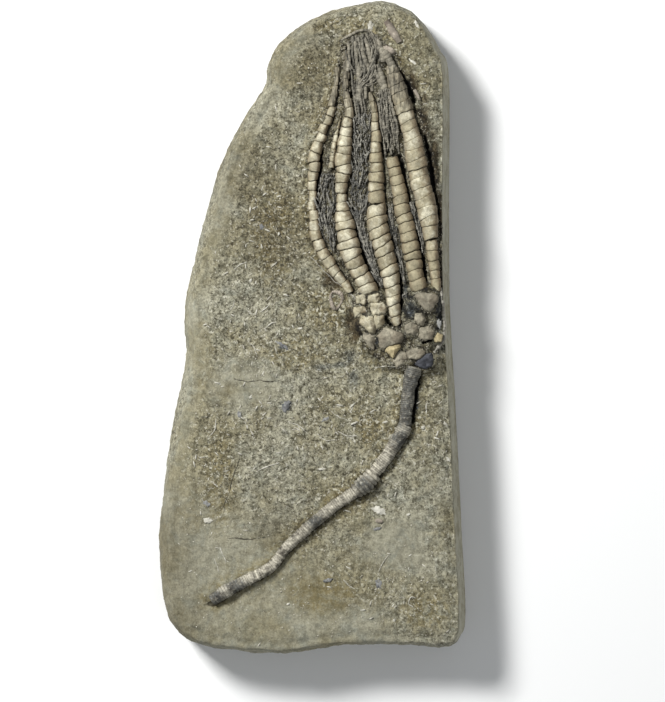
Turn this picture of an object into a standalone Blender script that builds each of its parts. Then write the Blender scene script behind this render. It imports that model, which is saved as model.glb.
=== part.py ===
"""A crinoid fossil lying on its slab of siltstone, at real size.

The slab rests on its flat back with the fossil on top. X runs across the slab, Y along it towards
the tips of the arms, and Z up. The origin is on the resting face, under the middle of the slab.
All sizes below are in millimetres. MM turns them into the scene's metres.
"""

import math

import bmesh
import bpy
from mathutils import Vector

MM = 0.001

# ---------------------------------------------------------------- driving dimensions
SLAB_THICKNESS = 16.0
SEAT_GAP = 0.3  # clearance between the slab and what lies on it
SPAN_STEPS = 3  # points made for each span of the slab's outline
ARM_PLATE = 2.1  # length of one plate along an arm
BRANCH_PLATE = 1.5  # the same on the thin side branch
ARM_RISE = 0.72  # height of an arm over its width
STEM_RISE = 0.8
BED_RISE = 0.42
PLATE_SWELL = 1.03  # width at the middle of an arm plate, over the arm's own width
JOINT_WAIST = 0.93  # width at the joint between two arm plates
CUP_EDGE_ROUND = 0.35
SHARP_ANGLE = 0.6  # radians; the slab's edges sharper than this stay crisp

# Outline of the slab at its widest, clockwise from the top.
SLAB_OUTLINE = [
    (14.5, 71.5), (21, 69.5), (25, 66), (28, 61), (30, 55), (30, 30), (30.2, 5), (31.5, -18),
    (32.6, -42), (33.6, -62), (32.5, -68), (28, -70), (14, -69.5), (3, -70), (-5, -71.3),
    (-15, -71), (-24, -69.5), (-29.5, -66.5), (-32.5, -60.5), (-33.6, -50), (-33, -38),
    (-31, -22), (-28, -8), (-28, 1), (-27, 11), (-24, 22.5), (-20.5, 35), (-14.5, 47),
    (-10.5, 53), (-9.5, 58.5), (-5.5, 64), (3, 69),
]
# Each ring of the slab's side: height, then how far it stands in from the outline on the
# right, left, top and bottom sides. The right side is a straight saw cut that leans in.
SLAB_RINGS = [
    (0.0, 1.4, 1.8, 1.8, 1.4),
    (1.3, 0.3, 0.4, 0.4, 0.3),
    (4.0, 0.0, 0.0, 0.0, 0.0),
    (9.5, 0.8, 0.4, 0.4, 0.2),
    (13.0, 1.4, 1.2, 1.1, 0.7),
    (15.0, 1.8, 2.3, 1.9, 1.3),
    (SLAB_THICKNESS, 2.1, 3.6, 3.0, 2.2),
]

# Routes give x, y and the width there, from the arms' tips down to the cup.
ARMS = {
    "arm_outer_left": [
        (5.5, 56, 0.9), (4.9, 50, 1.3), (4, 47, 1.6), (2.3, 42, 2.2), (1.3, 40, 1.9),
        (0.3, 36.5, 2.6), (0.1, 32, 2), (-0.2, 28, 1.6), (0.4, 22.5, 2.2), (1.3, 17.5, 2.4),
        (3.2, 14, 2.6), (5.6, 11, 2.2), (8, 8, 1.6),
    ],
    "arm_left": [
        (7.3, 59.5, 1.1), (7.1, 52, 1.3), (8, 46, 1.9), (7.4, 42, 2.7), (6.8, 38, 3.2),
        (6.7, 33.5, 3.3), (6.2, 29, 2.1), (6, 27, 2.2), (6.7, 23.5, 3.6), (7.3, 19.5, 4.3),
        (8.1, 16, 4.7), (9.4, 13.5, 4), (11.6, 9.2, 4), (12.3, 7.9, 3.5),
    ],
    "arm_left_branch": [
        (6, 45.5, 0.7), (5.1, 41.5, 0.9), (4.3, 37, 1.1), (4, 34.2, 1.3),
    ],
    "arm_middle_upper": [
        (12.1, 50.5, 0.9), (13.3, 47.5, 1.2), (13.6, 42, 1.9), (13.8, 37, 2.6), (13.7, 33, 3),
        (13.7, 29, 3.5), (13.7, 26.8, 3.6),
    ],
    "arm_middle_lower": [
        (13.8, 25.9, 4), (13.8, 23, 4.4), (14.7, 19, 4.6), (15.9, 15, 4.1), (16.9, 11, 3.9),
        (17.3, 7.5, 3.3), (17.5, 4, 2.7), (17.8, 2, 2.2), (18.2, 0.4, 1.1),
    ],
    "arm_right": [
        (17.1, 36.5, 2.7), (18, 32.5, 2.9), (19, 28, 3.2), (19.3, 25, 3.2), (20.3, 21.5, 3.5),
        (21.2, 17, 3.9), (21.9, 13, 3.6), (22.3, 11, 3.5), (23.1, 8, 3.3),
    ],
    "arm_outer_right_upper": [
        (17, 56.5, 2.8), (17.7, 53, 3.5), (18.8, 50, 3.6), (20.3, 45, 3.5), (21.4, 41, 3.7),
        (22.3, 36, 4), (23.2, 31, 4.2), (24.4, 27, 4), (25.1, 23, 3.8), (25.6, 19.5, 3),
    ],
    "arm_outer_right_lower": [
        (25.7, 18.2, 2.4), (25.8, 16.5, 2.6), (26.1, 13.5, 2.3), (26.5, 10.5, 2.1),
        (26.8, 8.3, 1.6),
    ],
}

# The stem, from under the cup to its broken end, in the lengths it is broken into.
STEM = {
    "stem_top": [(21.6, -10, 3.6), (20.9, -13, 3.1), (20.3, -17, 2.8), (20.1, -20.5, 2.8)],
    "stem_middle": [(19.7, -22, 3), (18.3, -24.5, 3.2), (16, -28, 2.8), (13.6, -31.2, 2.8)],
    "stem_collar": [(12.9, -32.2, 3.5), (11.2, -34, 3.9), (9.4, -35.5, 3.3)],
    "stem_lower": [
        (8.7, -36, 2.6), (4.5, -38.8, 2.5), (-0.5, -43, 2.5), (-5.5, -47.6, 2.3),
        (-9, -51.8, 2.3), (-13.7, -54.5, 2.5),
    ],
    "stem_end": [(-14.7, -55, 2.5), (-18.5, -57, 2.8), (-21.8, -59.1, 2.4)],
}

# Mats of fine pinnules pressed flat between the arms.
PINNULES = {
    "pinnules_tips": [
        (10.5, 63, 4), (11.3, 59.5, 6), (11.4, 55, 5.4), (9.9, 51.5, 1.9), (10.6, 46, 2.1),
    ],
    "pinnules_left": [(3, 32, 2.8), (2.8, 27.5, 3.2), (3.3, 21, 2.5), (4.4, 16.8, 1.4)],
    "pinnules_middle": [
        (10.7, 45, 2.4), (10.6, 40, 3), (10.3, 34, 2.8), (9.8, 29.5, 3.4), (9.9, 25.8, 2.9),
        (10.4, 21.5, 1.4), (12.7, 14, 1.3), (14.7, 9.2, 0.8),
    ],
    "pinnules_right": [(16, 48, 2.4), (17.4, 38, 3.6)],
    "pinnules_inner_right": [(16.9, 25.5, 0.8), (17.1, 22.5, 1.1), (18.9, 14, 1), (19.8, 10, 0.8)],
    "pinnules_outer_right": [(21.7, 26, 1), (22.9, 21, 0.7), (23.9, 16.8, 0.6)],
    "pinnules_cup": [(20.4, 6.4, 1.3), (20.3, 4, 2.1), (19.9, 1.5, 1.2)],
}

# Plates of the crushed cup and of the first forks of the arms: the thickness, then the corners.
CUP_PLATES = {
    "fork_plate_left": (
        3,
        [(10.6, 2.1), (12.8, 2.2), (13, 0.9), (13.4, -0.6), (13.1, -1.2), (12.3, -1), (10.4, 0.6)],
    ),
    "fork_plate_left_inner": (
        2.9,
        [(13.4, 2.2), (15.2, 2.2), (15.1, 0.9), (14.5, 0), (13.9, -0.2), (13.5, 0.9)],
    ),
    "fork_plate_right": (
        3,
        [(22.3, 6.5), (23.2, 7.1), (26, 7), (27, 5.9), (26, 4.6), (25.2, 3.4), (24.4, 3.5), (23.3, 5)],
    ),
    "arm_base_left": (
        3,
        [(12.7, 4.8), (15, 4.9), (15.6, 3.9), (15.3, 2.7), (13.2, 2.6), (12.6, 3.7)],
    ),
    "arm_base_left_upper": (2.8, [(12.2, 6.5), (13.9, 6.8), (14.3, 5.9), (13.6, 5.3), (12.3, 5.3)]),
    "arm_base_outer_left": (2.2, [(9.5, 6.4), (10.9, 6.6), (11.6, 5.8), (11, 4.9), (9.9, 5.2)]),
    "arm_base_right": (
        2.6,
        [(22.3, 2.4), (23.3, 2.5), (24.1, 1.5), (23.6, 0.4), (22.9, 0.3), (22.2, 1.2)],
    ),
    "sliver_plate": (1.8, [(9, 3.9), (10.6, 4), (12.2, 3), (10.2, 2.4), (9.3, 2.1)]),
    "radial_plate_front": (
        2.9,
        [
            (15.2, -0.3), (17.2, -1.1), (18.9, -1.5), (19.3, -2.5), (18.6, -3.4), (16.6, -3.8),
            (15.4, -4.8), (14.6, -4.3), (14, -2.2),
        ],
    ),
    "radial_plate_right": (
        2.8,
        [(20.3, 0.2), (21.3, 0.7), (22.3, -0.1), (22.5, -0.9), (21.9, -1.8), (20.8, -1.5), (20.1, -0.7)],
    ),
    "radial_plate_outer_right": (
        2.4,
        [(23.2, -0.6), (24.9, -0.3), (25.9, -1.2), (25.6, -2.4), (24, -2.8), (23, -2)],
    ),
    "basal_plate_left": (
        2,
        [(11.1, -1.3), (12.3, -1.7), (13.3, -2), (13.2, -3.2), (13, -4.8), (12.2, -4.2), (11.3, -2.6)],
    ),
    "basal_plate_front": (
        2,
        [(18.1, -6.1), (18.9, -5.4), (19.8, -5.9), (20, -7), (19.5, -8.2), (18.4, -8.6), (17.6, -7.6)],
    ),
    "basal_plate_yellow": (
        2.1,
        [(16.4, -4.3), (18.6, -3.9), (18.7, -4.6), (17.7, -5.6), (17.3, -6.6), (16, -5.3)],
    ),
    "basal_plate_right": (
        2.3,
        [
            (20.4, -5.7), (21.5, -5), (23, -5), (24.4, -5.3), (24.1, -6), (22.4, -6.9), (21, -6.7),
        ],
    ),
    "basal_plate_dark": (
        2,
        [(22.3, -8), (23.4, -7.1), (24.6, -6.3), (25.4, -6), (25.6, -7.4), (25.2, -8.4), (23.9, -8.9)],
    ),
    "crust_lump": (1.6, [(26.4, -2.4), (27, -1.9), (27.8, -2), (27.4, -3), (26.6, -3.1)]),
}

# Broken shell bits lying in the rock: x, y, then the three half sizes, then the turn in radians.
SHELL_LUMPS = {
    "shell_lump": ((16.6, 59.6), (1.5, 0.7, 0.6), -0.5),
    "shell_sliver": ((22.5, 50.1), (1.5, 0.4, 0.4), -1.1),
    "shell_white": ((14.4, -42.0), (0.9, 0.5, 0.4), -0.2),
}
SHELL_RIDGE = [(16, 66, 0.9), (17.4, 63.6, 1.4), (18.8, 61.3, 1)]
SHELL_RING_CENTRE = (5.1, 5.8)
SHELL_RING_SIZE = (1.25, 1.9)
SHELL_RING_WIRE = 0.35
SHELL_RING_SIDES = 20
SHELL_WIRE_SIDES = 6

# Half round section with a flat underside, one unit wide. Its height is scaled by each rise.
SECTION = [
    (0.44, 0.0), (-0.44, 0.0), (-0.5, 0.22), (-0.44, 0.58), (-0.27, 0.88), (0.0, 1.0), (0.27, 0.88),
    (0.44, 0.58), (0.5, 0.22),
]

COLOURS = {
    "siltstone": (0.235, 0.220, 0.160),
    "arm calcite": (0.480, 0.430, 0.310),
    "stem calcite": (0.270, 0.250, 0.200),
    "cup calcite": (0.380, 0.345, 0.260),
    "dark calcite": (0.070, 0.072, 0.080),
    "pinnule calcite": (0.115, 0.112, 0.100),
    "shell": (0.500, 0.440, 0.370),
}
STONE_ROUGHNESS = 0.82


# ---------------------------------------------------------------- helpers
def clear_scene():
    """Take away whatever the scene opens with."""
    for thing in list(bpy.data.objects):
        bpy.data.objects.remove(thing)


def new_collection(name):
    made = bpy.data.collections.new(name)
    bpy.context.scene.collection.children.link(made)
    return made


def stone_material(name):
    made = bpy.data.materials.new(name)
    made.use_nodes = True
    shader = made.node_tree.nodes["Principled BSDF"]
    shader.inputs["Base Color"].default_value = (*COLOURS[name], 1.0)
    shader.inputs["Roughness"].default_value = STONE_ROUGHNESS
    shader.inputs["Metallic"].default_value = 0.0
    return made


def add_object(name, data, material, parts):
    made = bpy.data.objects.new(name, data)
    data.materials.append(material)
    parts.objects.link(made)
    return made


def smooth_loop(corners, steps):
    """A closed Catmull-Rom curve through the corners, with the given points to each span."""
    count = len(corners)
    points = []
    for i in range(count):
        before, start, end, after = (Vector(corners[(i + k) % count]) for k in (-1, 0, 1, 2))
        for step in range(steps):
            t = step / steps
            pull = (end - before) * t + (2 * before - 5 * start + 4 * end - after) * t**2
            pull += (3 * (start - end) + after - before) * t**3
            points.append(start + pull * 0.5)
    return points


def outward_normals(points):
    """Unit normals of a clockwise loop, pointing out of it."""
    normals = []
    for i, point in enumerate(points):
        along = points[(i + 1) % len(points)] - points[i - 1]
        normals.append(Vector((-along.y, along.x)).normalized())
    return normals


def route_at(route, y):
    """The route's x and width where it crosses y. A route always runs down in y."""
    for (x0, y0, w0), (x1, y1, w1) in zip(route, route[1:]):
        if y0 >= y >= y1:
            t = (y0 - y) / (y0 - y1)
            return x0 + (x1 - x0) * t, w0 + (w1 - w0) * t
    return route[-1][0], route[-1][2]


def joint_heights(route, plate):
    """The y of each seam between plates, at even lengths along the route."""
    along = [0.0]
    for (x0, y0, _), (x1, y1, _) in zip(route, route[1:]):
        along.append(along[-1] + math.hypot(x1 - x0, y1 - y0))
    count = round(along[-1] / plate)
    heights = []
    span = 1
    for i in range(1, count):
        wanted = along[-1] * i / count
        while along[span] < wanted:
            span += 1
        t = (wanted - along[span - 1]) / (along[span] - along[span - 1])
        upper, lower = route[span - 1][1], route[span][1]
        heights.append(upper + (lower - upper) * t)
    return heights


def plated_route(route, joints):
    """The route with a waist at every joint and a swell in the middle of every plate."""
    ends = [route[0][1], *joints, route[-1][1]]
    points = []
    for upper, lower in zip(ends, ends[1:]):
        x, width = route_at(route, upper)
        points.append((x, upper, width * JOINT_WAIST))
        middle = (upper + lower) / 2
        x, width = route_at(route, middle)
        points.append((x, middle, width * PLATE_SWELL))
    x, y, width = route[-1]
    points.append((x, y, width * JOINT_WAIST))
    return points


# ---------------------------------------------------------------- solids
def make_slab(parts):
    """Rings of the outline, stacked from the resting face to the fossil's face."""
    outline = smooth_loop(SLAB_OUTLINE, SPAN_STEPS)
    normals = outward_normals(outline)
    mesh = bmesh.new()
    rings = []
    for height, right, left, top, bottom in SLAB_RINGS:
        ring = []
        for point, normal in zip(outline, normals):
            sideways = right if normal.x > 0 else left
            endways = top if normal.y > 0 else bottom
            inset = sideways * normal.x**2 + endways * normal.y**2
            place = point - normal * inset
            ring.append(mesh.verts.new((place.x * MM, place.y * MM, height * MM)))
        rings.append(ring)
    for lower, upper in zip(rings, rings[1:]):
        for i in range(len(lower)):
            mesh.faces.new((lower[i - 1], upper[i - 1], upper[i], lower[i]))
    mesh.faces.new(rings[0])
    mesh.faces.new(rings[-1])
    bmesh.ops.recalc_face_normals(mesh, faces=mesh.faces)
    data = bpy.data.meshes.new("matrix_slab")
    mesh.to_mesh(data)
    mesh.free()
    data.shade_smooth()
    data.set_sharp_from_angle(angle=SHARP_ANGLE)
    add_object("matrix_slab", data, stone_material("siltstone"), parts)


def make_section(name, rise, guides):
    """A half round section, drawn one millimetre wide, that the bands are swept from."""
    data = bpy.data.curves.new(name, "CURVE")
    data.dimensions = "2D"
    spline = data.splines.new("POLY")
    spline.points.add(len(SECTION) - 1)
    for point, (x, y) in zip(spline.points, SECTION):
        point.co = (x * MM, y * rise * MM, 0.0, 1.0)
    spline.use_cyclic_u = True
    made = bpy.data.objects.new(name, data)
    made.hide_render = True
    made.display_type = "WIRE"
    guides.objects.link(made)
    return made


def make_band(name, route, section, material, parts):
    """A half round band along a route, seated a little over the slab's face."""
    data = bpy.data.curves.new(name, "CURVE")
    data.dimensions = "3D"
    data.twist_mode = "Z_UP"
    data.bevel_mode = "OBJECT"
    data.bevel_object = section
    data.use_fill_caps = True
    spline = data.splines.new("POLY")
    spline.points.add(len(route) - 1)
    seat = SLAB_THICKNESS + SEAT_GAP
    for point, (x, y, width) in zip(spline.points, route):
        point.co = (x * MM, y * MM, seat * MM, 1.0)
        point.radius = width
    add_object(name, data, material, parts)


def make_plate(name, corners, thickness, material, parts):
    """A flat-bottomed plate with rounded edges, drawn by its corners."""
    data = bpy.data.curves.new(name, "CURVE")
    data.dimensions = "2D"
    data.fill_mode = "BOTH"
    data.extrude = (thickness / 2 - CUP_EDGE_ROUND) * MM
    data.bevel_depth = CUP_EDGE_ROUND * MM
    data.bevel_resolution = 1
    data.offset = -CUP_EDGE_ROUND * MM
    spline = data.splines.new("POLY")
    spline.points.add(len(corners) - 1)
    for point, (x, y) in zip(spline.points, corners):
        point.co = (x * MM, y * MM, 0.0, 1.0)
    spline.use_cyclic_u = True
    plate = add_object(name, data, material, parts)
    plate.location.z = (SLAB_THICKNESS + SEAT_GAP + thickness / 2) * MM


def make_lump(name, centre, half_sizes, turn, material, parts):
    """A rounded bit of shell, lying on the slab's face."""
    mesh = bmesh.new()
    bmesh.ops.create_icosphere(mesh, subdivisions=2, radius=1.0)
    bmesh.ops.scale(mesh, vec=[size * MM for size in half_sizes], verts=mesh.verts)
    data = bpy.data.meshes.new(name)
    mesh.to_mesh(data)
    mesh.free()
    data.shade_smooth()
    lump = add_object(name, data, material, parts)
    seat = SLAB_THICKNESS + SEAT_GAP + half_sizes[2]
    lump.location = (centre[0] * MM, centre[1] * MM, seat * MM)
    lump.rotation_euler.z = turn


def make_shell_ring(material, parts):
    """The rim of a small shell: an oval ring lying flat."""
    bpy.ops.mesh.primitive_torus_add(
        major_segments=SHELL_RING_SIDES,
        minor_segments=SHELL_WIRE_SIDES,
        major_radius=1.0,
        minor_radius=SHELL_RING_WIRE / SHELL_RING_SIZE[0],
    )
    ring = bpy.context.object
    ring.name = "shell_ring"
    ring.data.materials.append(material)
    for collection in ring.users_collection:
        collection.objects.unlink(ring)
    parts.objects.link(ring)
    wide, tall = SHELL_RING_SIZE
    ring.scale = (wide * MM, tall * MM, wide * MM)
    seat = SLAB_THICKNESS + SEAT_GAP + SHELL_RING_WIRE
    ring.location = (SHELL_RING_CENTRE[0] * MM, SHELL_RING_CENTRE[1] * MM, seat * MM)


def main():
    clear_scene()
    parts = new_collection("crinoid fossil")
    guides = new_collection("guides")
    make_slab(parts)

    arm_section = make_section("arm section", ARM_RISE, guides)
    stem_section = make_section("stem section", STEM_RISE, guides)
    bed_section = make_section("bed section", BED_RISE, guides)

    arm_calcite = stone_material("arm calcite")
    for name, route in ARMS.items():
        joints = joint_heights(route, BRANCH_PLATE if name == "arm_left_branch" else ARM_PLATE)
        make_band(name, plated_route(route, joints), arm_section, arm_calcite, parts)

    stem_calcite = stone_material("stem calcite")
    for name, route in STEM.items():
        make_band(name, route, stem_section, stem_calcite, parts)

    pinnule_calcite = stone_material("pinnule calcite")
    for name, route in PINNULES.items():
        make_band(name, route, bed_section, pinnule_calcite, parts)

    cup_calcite = stone_material("cup calcite")
    dark_calcite = stone_material("dark calcite")
    for name, (thickness, corners) in CUP_PLATES.items():
        calcite = dark_calcite if name == "basal_plate_dark" else cup_calcite
        make_plate(name, corners, thickness, calcite, parts)

    shell = stone_material("shell")
    for name, (centre, half_sizes, turn) in SHELL_LUMPS.items():
        make_lump(name, centre, half_sizes, turn, shell, parts)
    make_band("shell_ridge", SHELL_RIDGE, stem_section, shell, parts)
    make_shell_ring(shell, parts)


main()
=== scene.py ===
"""A crinoid fossil on its slab: the fine surface of the rock, the arms, the cup and the stem.

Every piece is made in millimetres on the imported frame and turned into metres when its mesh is
made. X runs across the slab, Y towards the tips of the arms, and Z up out of the fossil's face.
"""

import functools
import math
import random

import bmesh
import bpy
import numpy as np
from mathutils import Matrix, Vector, geometry, noise
from mathutils.bvhtree import BVHTree
from mathutils.kdtree import KDTree


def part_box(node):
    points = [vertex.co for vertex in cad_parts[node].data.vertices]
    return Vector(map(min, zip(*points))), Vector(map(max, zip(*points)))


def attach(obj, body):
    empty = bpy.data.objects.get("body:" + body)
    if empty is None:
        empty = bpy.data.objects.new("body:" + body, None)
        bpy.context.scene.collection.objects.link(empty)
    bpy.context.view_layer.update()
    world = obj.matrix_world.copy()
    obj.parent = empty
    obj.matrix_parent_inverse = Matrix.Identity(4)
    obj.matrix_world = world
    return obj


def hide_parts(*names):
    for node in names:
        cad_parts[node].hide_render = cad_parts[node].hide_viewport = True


bl_info = {
    "name": "Crinoid Fossil Slab",
    "version": (1, 0, 0),
    "blender": (4, 5, 0),
    "location": "View3D > Sidebar > Crinoid",
    "description": "Builds a crinoid fossil lying in relief on its slab of siltstone",
    "category": "Add Mesh",
}

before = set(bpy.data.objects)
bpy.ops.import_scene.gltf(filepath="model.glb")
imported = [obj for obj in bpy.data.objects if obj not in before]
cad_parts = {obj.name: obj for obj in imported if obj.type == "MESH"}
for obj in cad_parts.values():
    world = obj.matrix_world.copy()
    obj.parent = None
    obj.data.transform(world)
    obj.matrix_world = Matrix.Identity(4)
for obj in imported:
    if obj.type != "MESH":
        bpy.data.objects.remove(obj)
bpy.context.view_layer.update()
MM = 0.001
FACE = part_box("matrix_slab")[1].z / MM  # height of the slab's face over the resting face
ROUTE_REACH = 6.0  # how far round a route its edge is looked for
FAR = 99.0  # what an edge beyond that reach counts as
FULL_TURN = 6.28  # near enough for angles drawn at random

# ---------------------------------------------------------------- the slab's shape
SLAB_OUTLINE = [
    (14.5, 71.5), (21, 69.5), (25, 66), (28, 61), (30, 55), (30, 30), (30.2, 5), (31.5, -18),
    (32.6, -42), (33.6, -62), (32.5, -68), (28, -70), (14, -69.5), (3, -70), (-5, -71.3),
    (-15, -71), (-24, -69.5), (-29.5, -66.5), (-32.5, -60.5), (-33.6, -50), (-33, -38),
    (-31, -22), (-28, -8), (-28, 1), (-27, 11), (-24, 22.5), (-20.5, 35), (-14.5, 47),
    (-10.5, 53), (-9.5, 58.5), (-5.5, 64), (3, 69),
]
# Height of each ring of the side, then its inset on the right, left, top and bottom sides.
SLAB_RINGS = [
    (0.0, 1.4, 1.8, 1.8, 1.4),
    (1.3, 0.3, 0.4, 0.4, 0.3),
    (4.0, 0.0, 0.0, 0.0, 0.0),
    (9.5, 0.8, 0.4, 0.4, 0.2),
    (13.0, 1.4, 1.2, 1.1, 0.7),
    (15.0, 1.8, 2.3, 1.9, 1.3),
    (FACE, 2.1, 3.6, 3.0, 2.2),
]
CUP_MIDDLE = (18.2, -1.2)
CUP_REACH = (8.6, 8.2)
CUP_RISE = 2.05  # height of the rock under the crushed cup
BED_RISE = 0.7  # the same under the arms
# The crown's outline on the slab, clockwise from the rim over the tips.
CROWN_EDGE = [
    (14.0, 63.0), (18.5, 58.5), (21.6, 52.0), (24.4, 44.0), (26.4, 36.0), (27.6, 28.0), (28.2, 18.0),
    (28.4, 6.0), (28.3, -4.0), (26.5, -9.0), (22.0, -10.2), (17.0, -9.0), (12.0, -5.5), (9.6, 0.0),
    (8.0, 5.0), (6.0, 10.2), (1.5, 17.5), (-0.6, 24.0), (-1.0, 30.0), (-0.4, 37.0), (1.6, 44.0),
    (4.6, 52.0), (5.6, 58.0), (6.0, 62.0), (9.5, 64.0),
]
# Soft ovals on the face: x, y, half width, half height.
STAIN_SPOTS = [
    (-8.0, 18.0, 6.0, 13.0), (-3.0, -5.5, 9.0, 5.0), (4.0, 4.0, 8.0, 6.0), (-20.0, -34.0, 4.0, 12.0),
    (24.0, -62.0, 8.0, 5.0), (2.0, -58.0, 10.0, 5.0), (12.0, -22.0, 4.0, 6.0), (4.0, 66.0, 8.0, 3.0),
]
SMOOTH_SPOTS = [
    (-15.0, -13.0, 9.0, 6.0), (-26.0, -2.0, 3.0, 16.0), (18.0, -48.0, 6.0, 6.0),
    (4.0, -64.0, 14.0, 5.0),
]
# Painted shade right of the outer right arm, and dark brown rock by the cup.
SHADED_AND_DARK_SPOTS = [
    (21.6, 52.0, 1.3, 4.0), (24.2, 44.0, 1.5, 6.0), (26.2, 35.0, 1.3, 8.0), (27.4, 24.0, 0.8, 8.0),
    (27.6, 12.0, 0.6, 5.0), (9.0, 1.0, 2.2, 4.6), (5.0, 10.0, 3.0, 2.0),
]
DIM_SPOTS = [
    (-31.0, -50.0, 6.0, 14.0), (-28.0, -62.0, 5.0, 6.0), (0.0, 56.0, 9.0, 12.0),
    (-14.0, 33.0, 8.0, 12.0), (-8.0, 20.0, 9.0, 9.0), (-8.0, -44.0, 5.0, 4.0),
]
BLUE_SPOTS = [
    (21.2, 3.6, 2.3, 3.2), (27.4, 2.5, 0.9, 7.0), (13.9, -3.6, 0.6, 1.8), (24.6, -7.4, 2.2, 1.2),
    (20.0, 8.0, 0.9, 3.0), (-6.5, -4.5, 1.8, 0.5), (-5.7, -17.2, 1.4, 0.9), (22.3, -15.5, 0.8, 3.0),
]
HAZE_SPOTS = [
    (2.0, -8.7, 2.4, 0.8), (5.9, -8.2, 1.8, 0.9), (8.9, -11.0, 1.3, 1.7), (8.2, -6.2, 1.8, 1.9),
]
HASH_SPOTS = [
    (-14.0, -4.0, 11.0, 14.0), (-6.0, -22.0, 14.0, 11.0), (6.0, -20.0, 8.0, 8.0),
    (27.0, -24.0, 4.0, 14.0), (-10.0, 20.0, 6.0, 12.0), (-22.0, -36.0, 6.0, 12.0),
    (16.0, -56.0, 9.0, 7.0),
]

# ---------------------------------------------------------------- routes: x, y, width
ARMS = {
    "arm_outer_left": [
        (5.5, 56, 0.9), (4.9, 50, 1.3), (4, 47, 1.6), (2.3, 42, 2.2), (1.3, 40, 1.9),
        (0.3, 36.5, 2.6), (0.1, 32, 2), (-0.2, 28, 1.6), (0.4, 22.5, 2.2), (1.3, 17.5, 2.4),
        (3.2, 14, 2.6), (5.6, 11, 2.2), (8, 8, 1.6),
    ],
    "arm_left": [
        (7.3, 59.5, 1.1), (7.1, 52, 1.3), (8, 46, 1.9), (7.4, 42, 2.7), (6.8, 38, 3.2),
        (6.7, 33.5, 3.3), (6.2, 29, 2.1), (6, 27, 2.2), (6.7, 23.5, 3.6), (7.3, 19.5, 4.3),
        (8.1, 16, 4.7), (9.4, 13.5, 4), (11.6, 9.2, 4), (12.5, 7.4, 3.5),
    ],
    "arm_left_branch": [
        (6, 45.5, 0.7), (5.1, 41.5, 0.9), (4.3, 37, 1.1), (4, 34.2, 1.3),
    ],
    "arm_middle_upper": [
        (12.1, 50.5, 0.9), (13.3, 47.5, 1.2), (13.6, 42, 1.9), (13.8, 37, 2.6), (13.7, 33, 3),
        (13.7, 29, 3.5), (13.7, 26.8, 3.6),
    ],
    "arm_middle_lower": [
        (13.8, 25.9, 4), (13.8, 23, 4.4), (14.7, 19, 4.6), (15.9, 15, 4.1), (16.9, 11, 3.9),
        (17.3, 7.5, 3.3), (17.5, 4, 2.7), (17.8, 2, 2.3), (18.3, 0.2, 1.5),
    ],
    "arm_right": [
        (17.1, 36.5, 2.7), (18, 32.5, 2.9), (19, 28, 3.2), (19.3, 25, 3.2), (20.3, 21.5, 3.5),
        (21.2, 17, 3.9), (21.9, 13, 3.6), (22.3, 11, 3.5), (23.1, 8, 3.3),
    ],
    "arm_outer_right_upper": [
        (17, 56.5, 2.8), (17.7, 53, 3.5), (18.8, 50, 3.6), (20.3, 45, 3.5), (21.4, 41, 3.7),
        (22.3, 36, 4), (23.2, 31, 4.2), (24.4, 27, 4), (25.1, 23, 3.8), (25.6, 19.5, 3),
    ],
    "arm_outer_right_lower": [
        (25.7, 18.2, 2.4), (25.8, 16.5, 2.6), (26.1, 13.5, 2.3), (26.5, 10.5, 2.1),
        (26.8, 8.3, 1.6),
    ],
}
ARM_PLATE = 2.1  # length of one plate along an arm
BRANCH_PLATE = 1.5  # the same on the thin side branch
# How far the seams slant up to the right, and how deep they are cut, for each arm.
ARM_SLANT = {"arm_middle_lower": 0.26, "arm_right": 0.10, "arm_outer_right_upper": 0.16}
ARM_SEAM_DEPTH = {"arm_outer_right_upper": 0.30, "arm_left_branch": 0.7}
# How far a plate lies to one side of its arm's route.
ARM_STRAY = {"arm_outer_left": 0.28, "arm_left": 0.20, "arm_middle_upper": 0.14}
# How far an arm runs on past the ends of its route, above and below, to meet what follows it.
ARM_MEET = {
    "arm_outer_left": (0.0, 0.7), "arm_left": (0.0, 0.3), "arm_middle_upper": (0.0, 0.32),
    "arm_middle_lower": (0.35, 0.0), "arm_right": (0.0, 0.3), "arm_outer_right_upper": (0.0, 0.5),
    "arm_outer_right_lower": (0.5, 0.8),
}
# The share of its width that an arm keeps at its first seams, as it narrows into the tips.
ARM_NARROWS = {"arm_outer_right_upper": (0.72, 0.88, 0.96), "arm_right": (0.85, 1.0)}
# How much darker and browner each arm is.
ARM_TONE = {
    "arm_left": -0.5, "arm_middle_upper": 1.2, "arm_middle_lower": -0.4, "arm_right": 2.8,
    "arm_outer_right_upper": 0.2, "arm_outer_right_lower": 1.8,
}
ARM_RISE = 0.72  # height over width
ARM_SINK = 0.6  # how deep its foot is sunk in the rock
ARM_LIFT = 1.2  # how far an arm climbs where it runs onto the cup
ARM_FADE = (41.0, 53.0)  # over these heights the arms grow grey towards their tips
# Seams that stand open where the arm is cracked through: the height and the gap of each.
WIDE_SEAMS = {"arm_left": (20.4, 0.22), "arm_outer_left": (32.9, 0.25), "arm_right": (16.4, 0.15)}
SEAM_STRAY = 0.2  # how far a seam lies from its even place

STEM = {
    "stem_top": [(21.6, -10, 3.6), (20.9, -13, 3.1), (20.3, -17, 2.8), (20.1, -20.5, 2.8)],
    "stem_middle": [(19.7, -22, 3), (18.3, -24.5, 3.2), (16, -28, 2.8), (13.6, -31.2, 2.8)],
    "stem_collar": [(12.9, -32.2, 3.5), (11.2, -34, 3.9), (9.4, -35.5, 3.3)],
    "stem_lower": [
        (8.7, -36, 2.6), (4.5, -38.8, 2.5), (-0.5, -43, 2.5), (-5.5, -47.6, 2.3),
        (-9, -51.8, 2.3), (-13.7, -54.5, 2.5),
    ],
    "stem_end": [(-14.7, -55, 2.5), (-18.5, -57, 2.8), (-21.8, -59.1, 2.4)],
}
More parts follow.
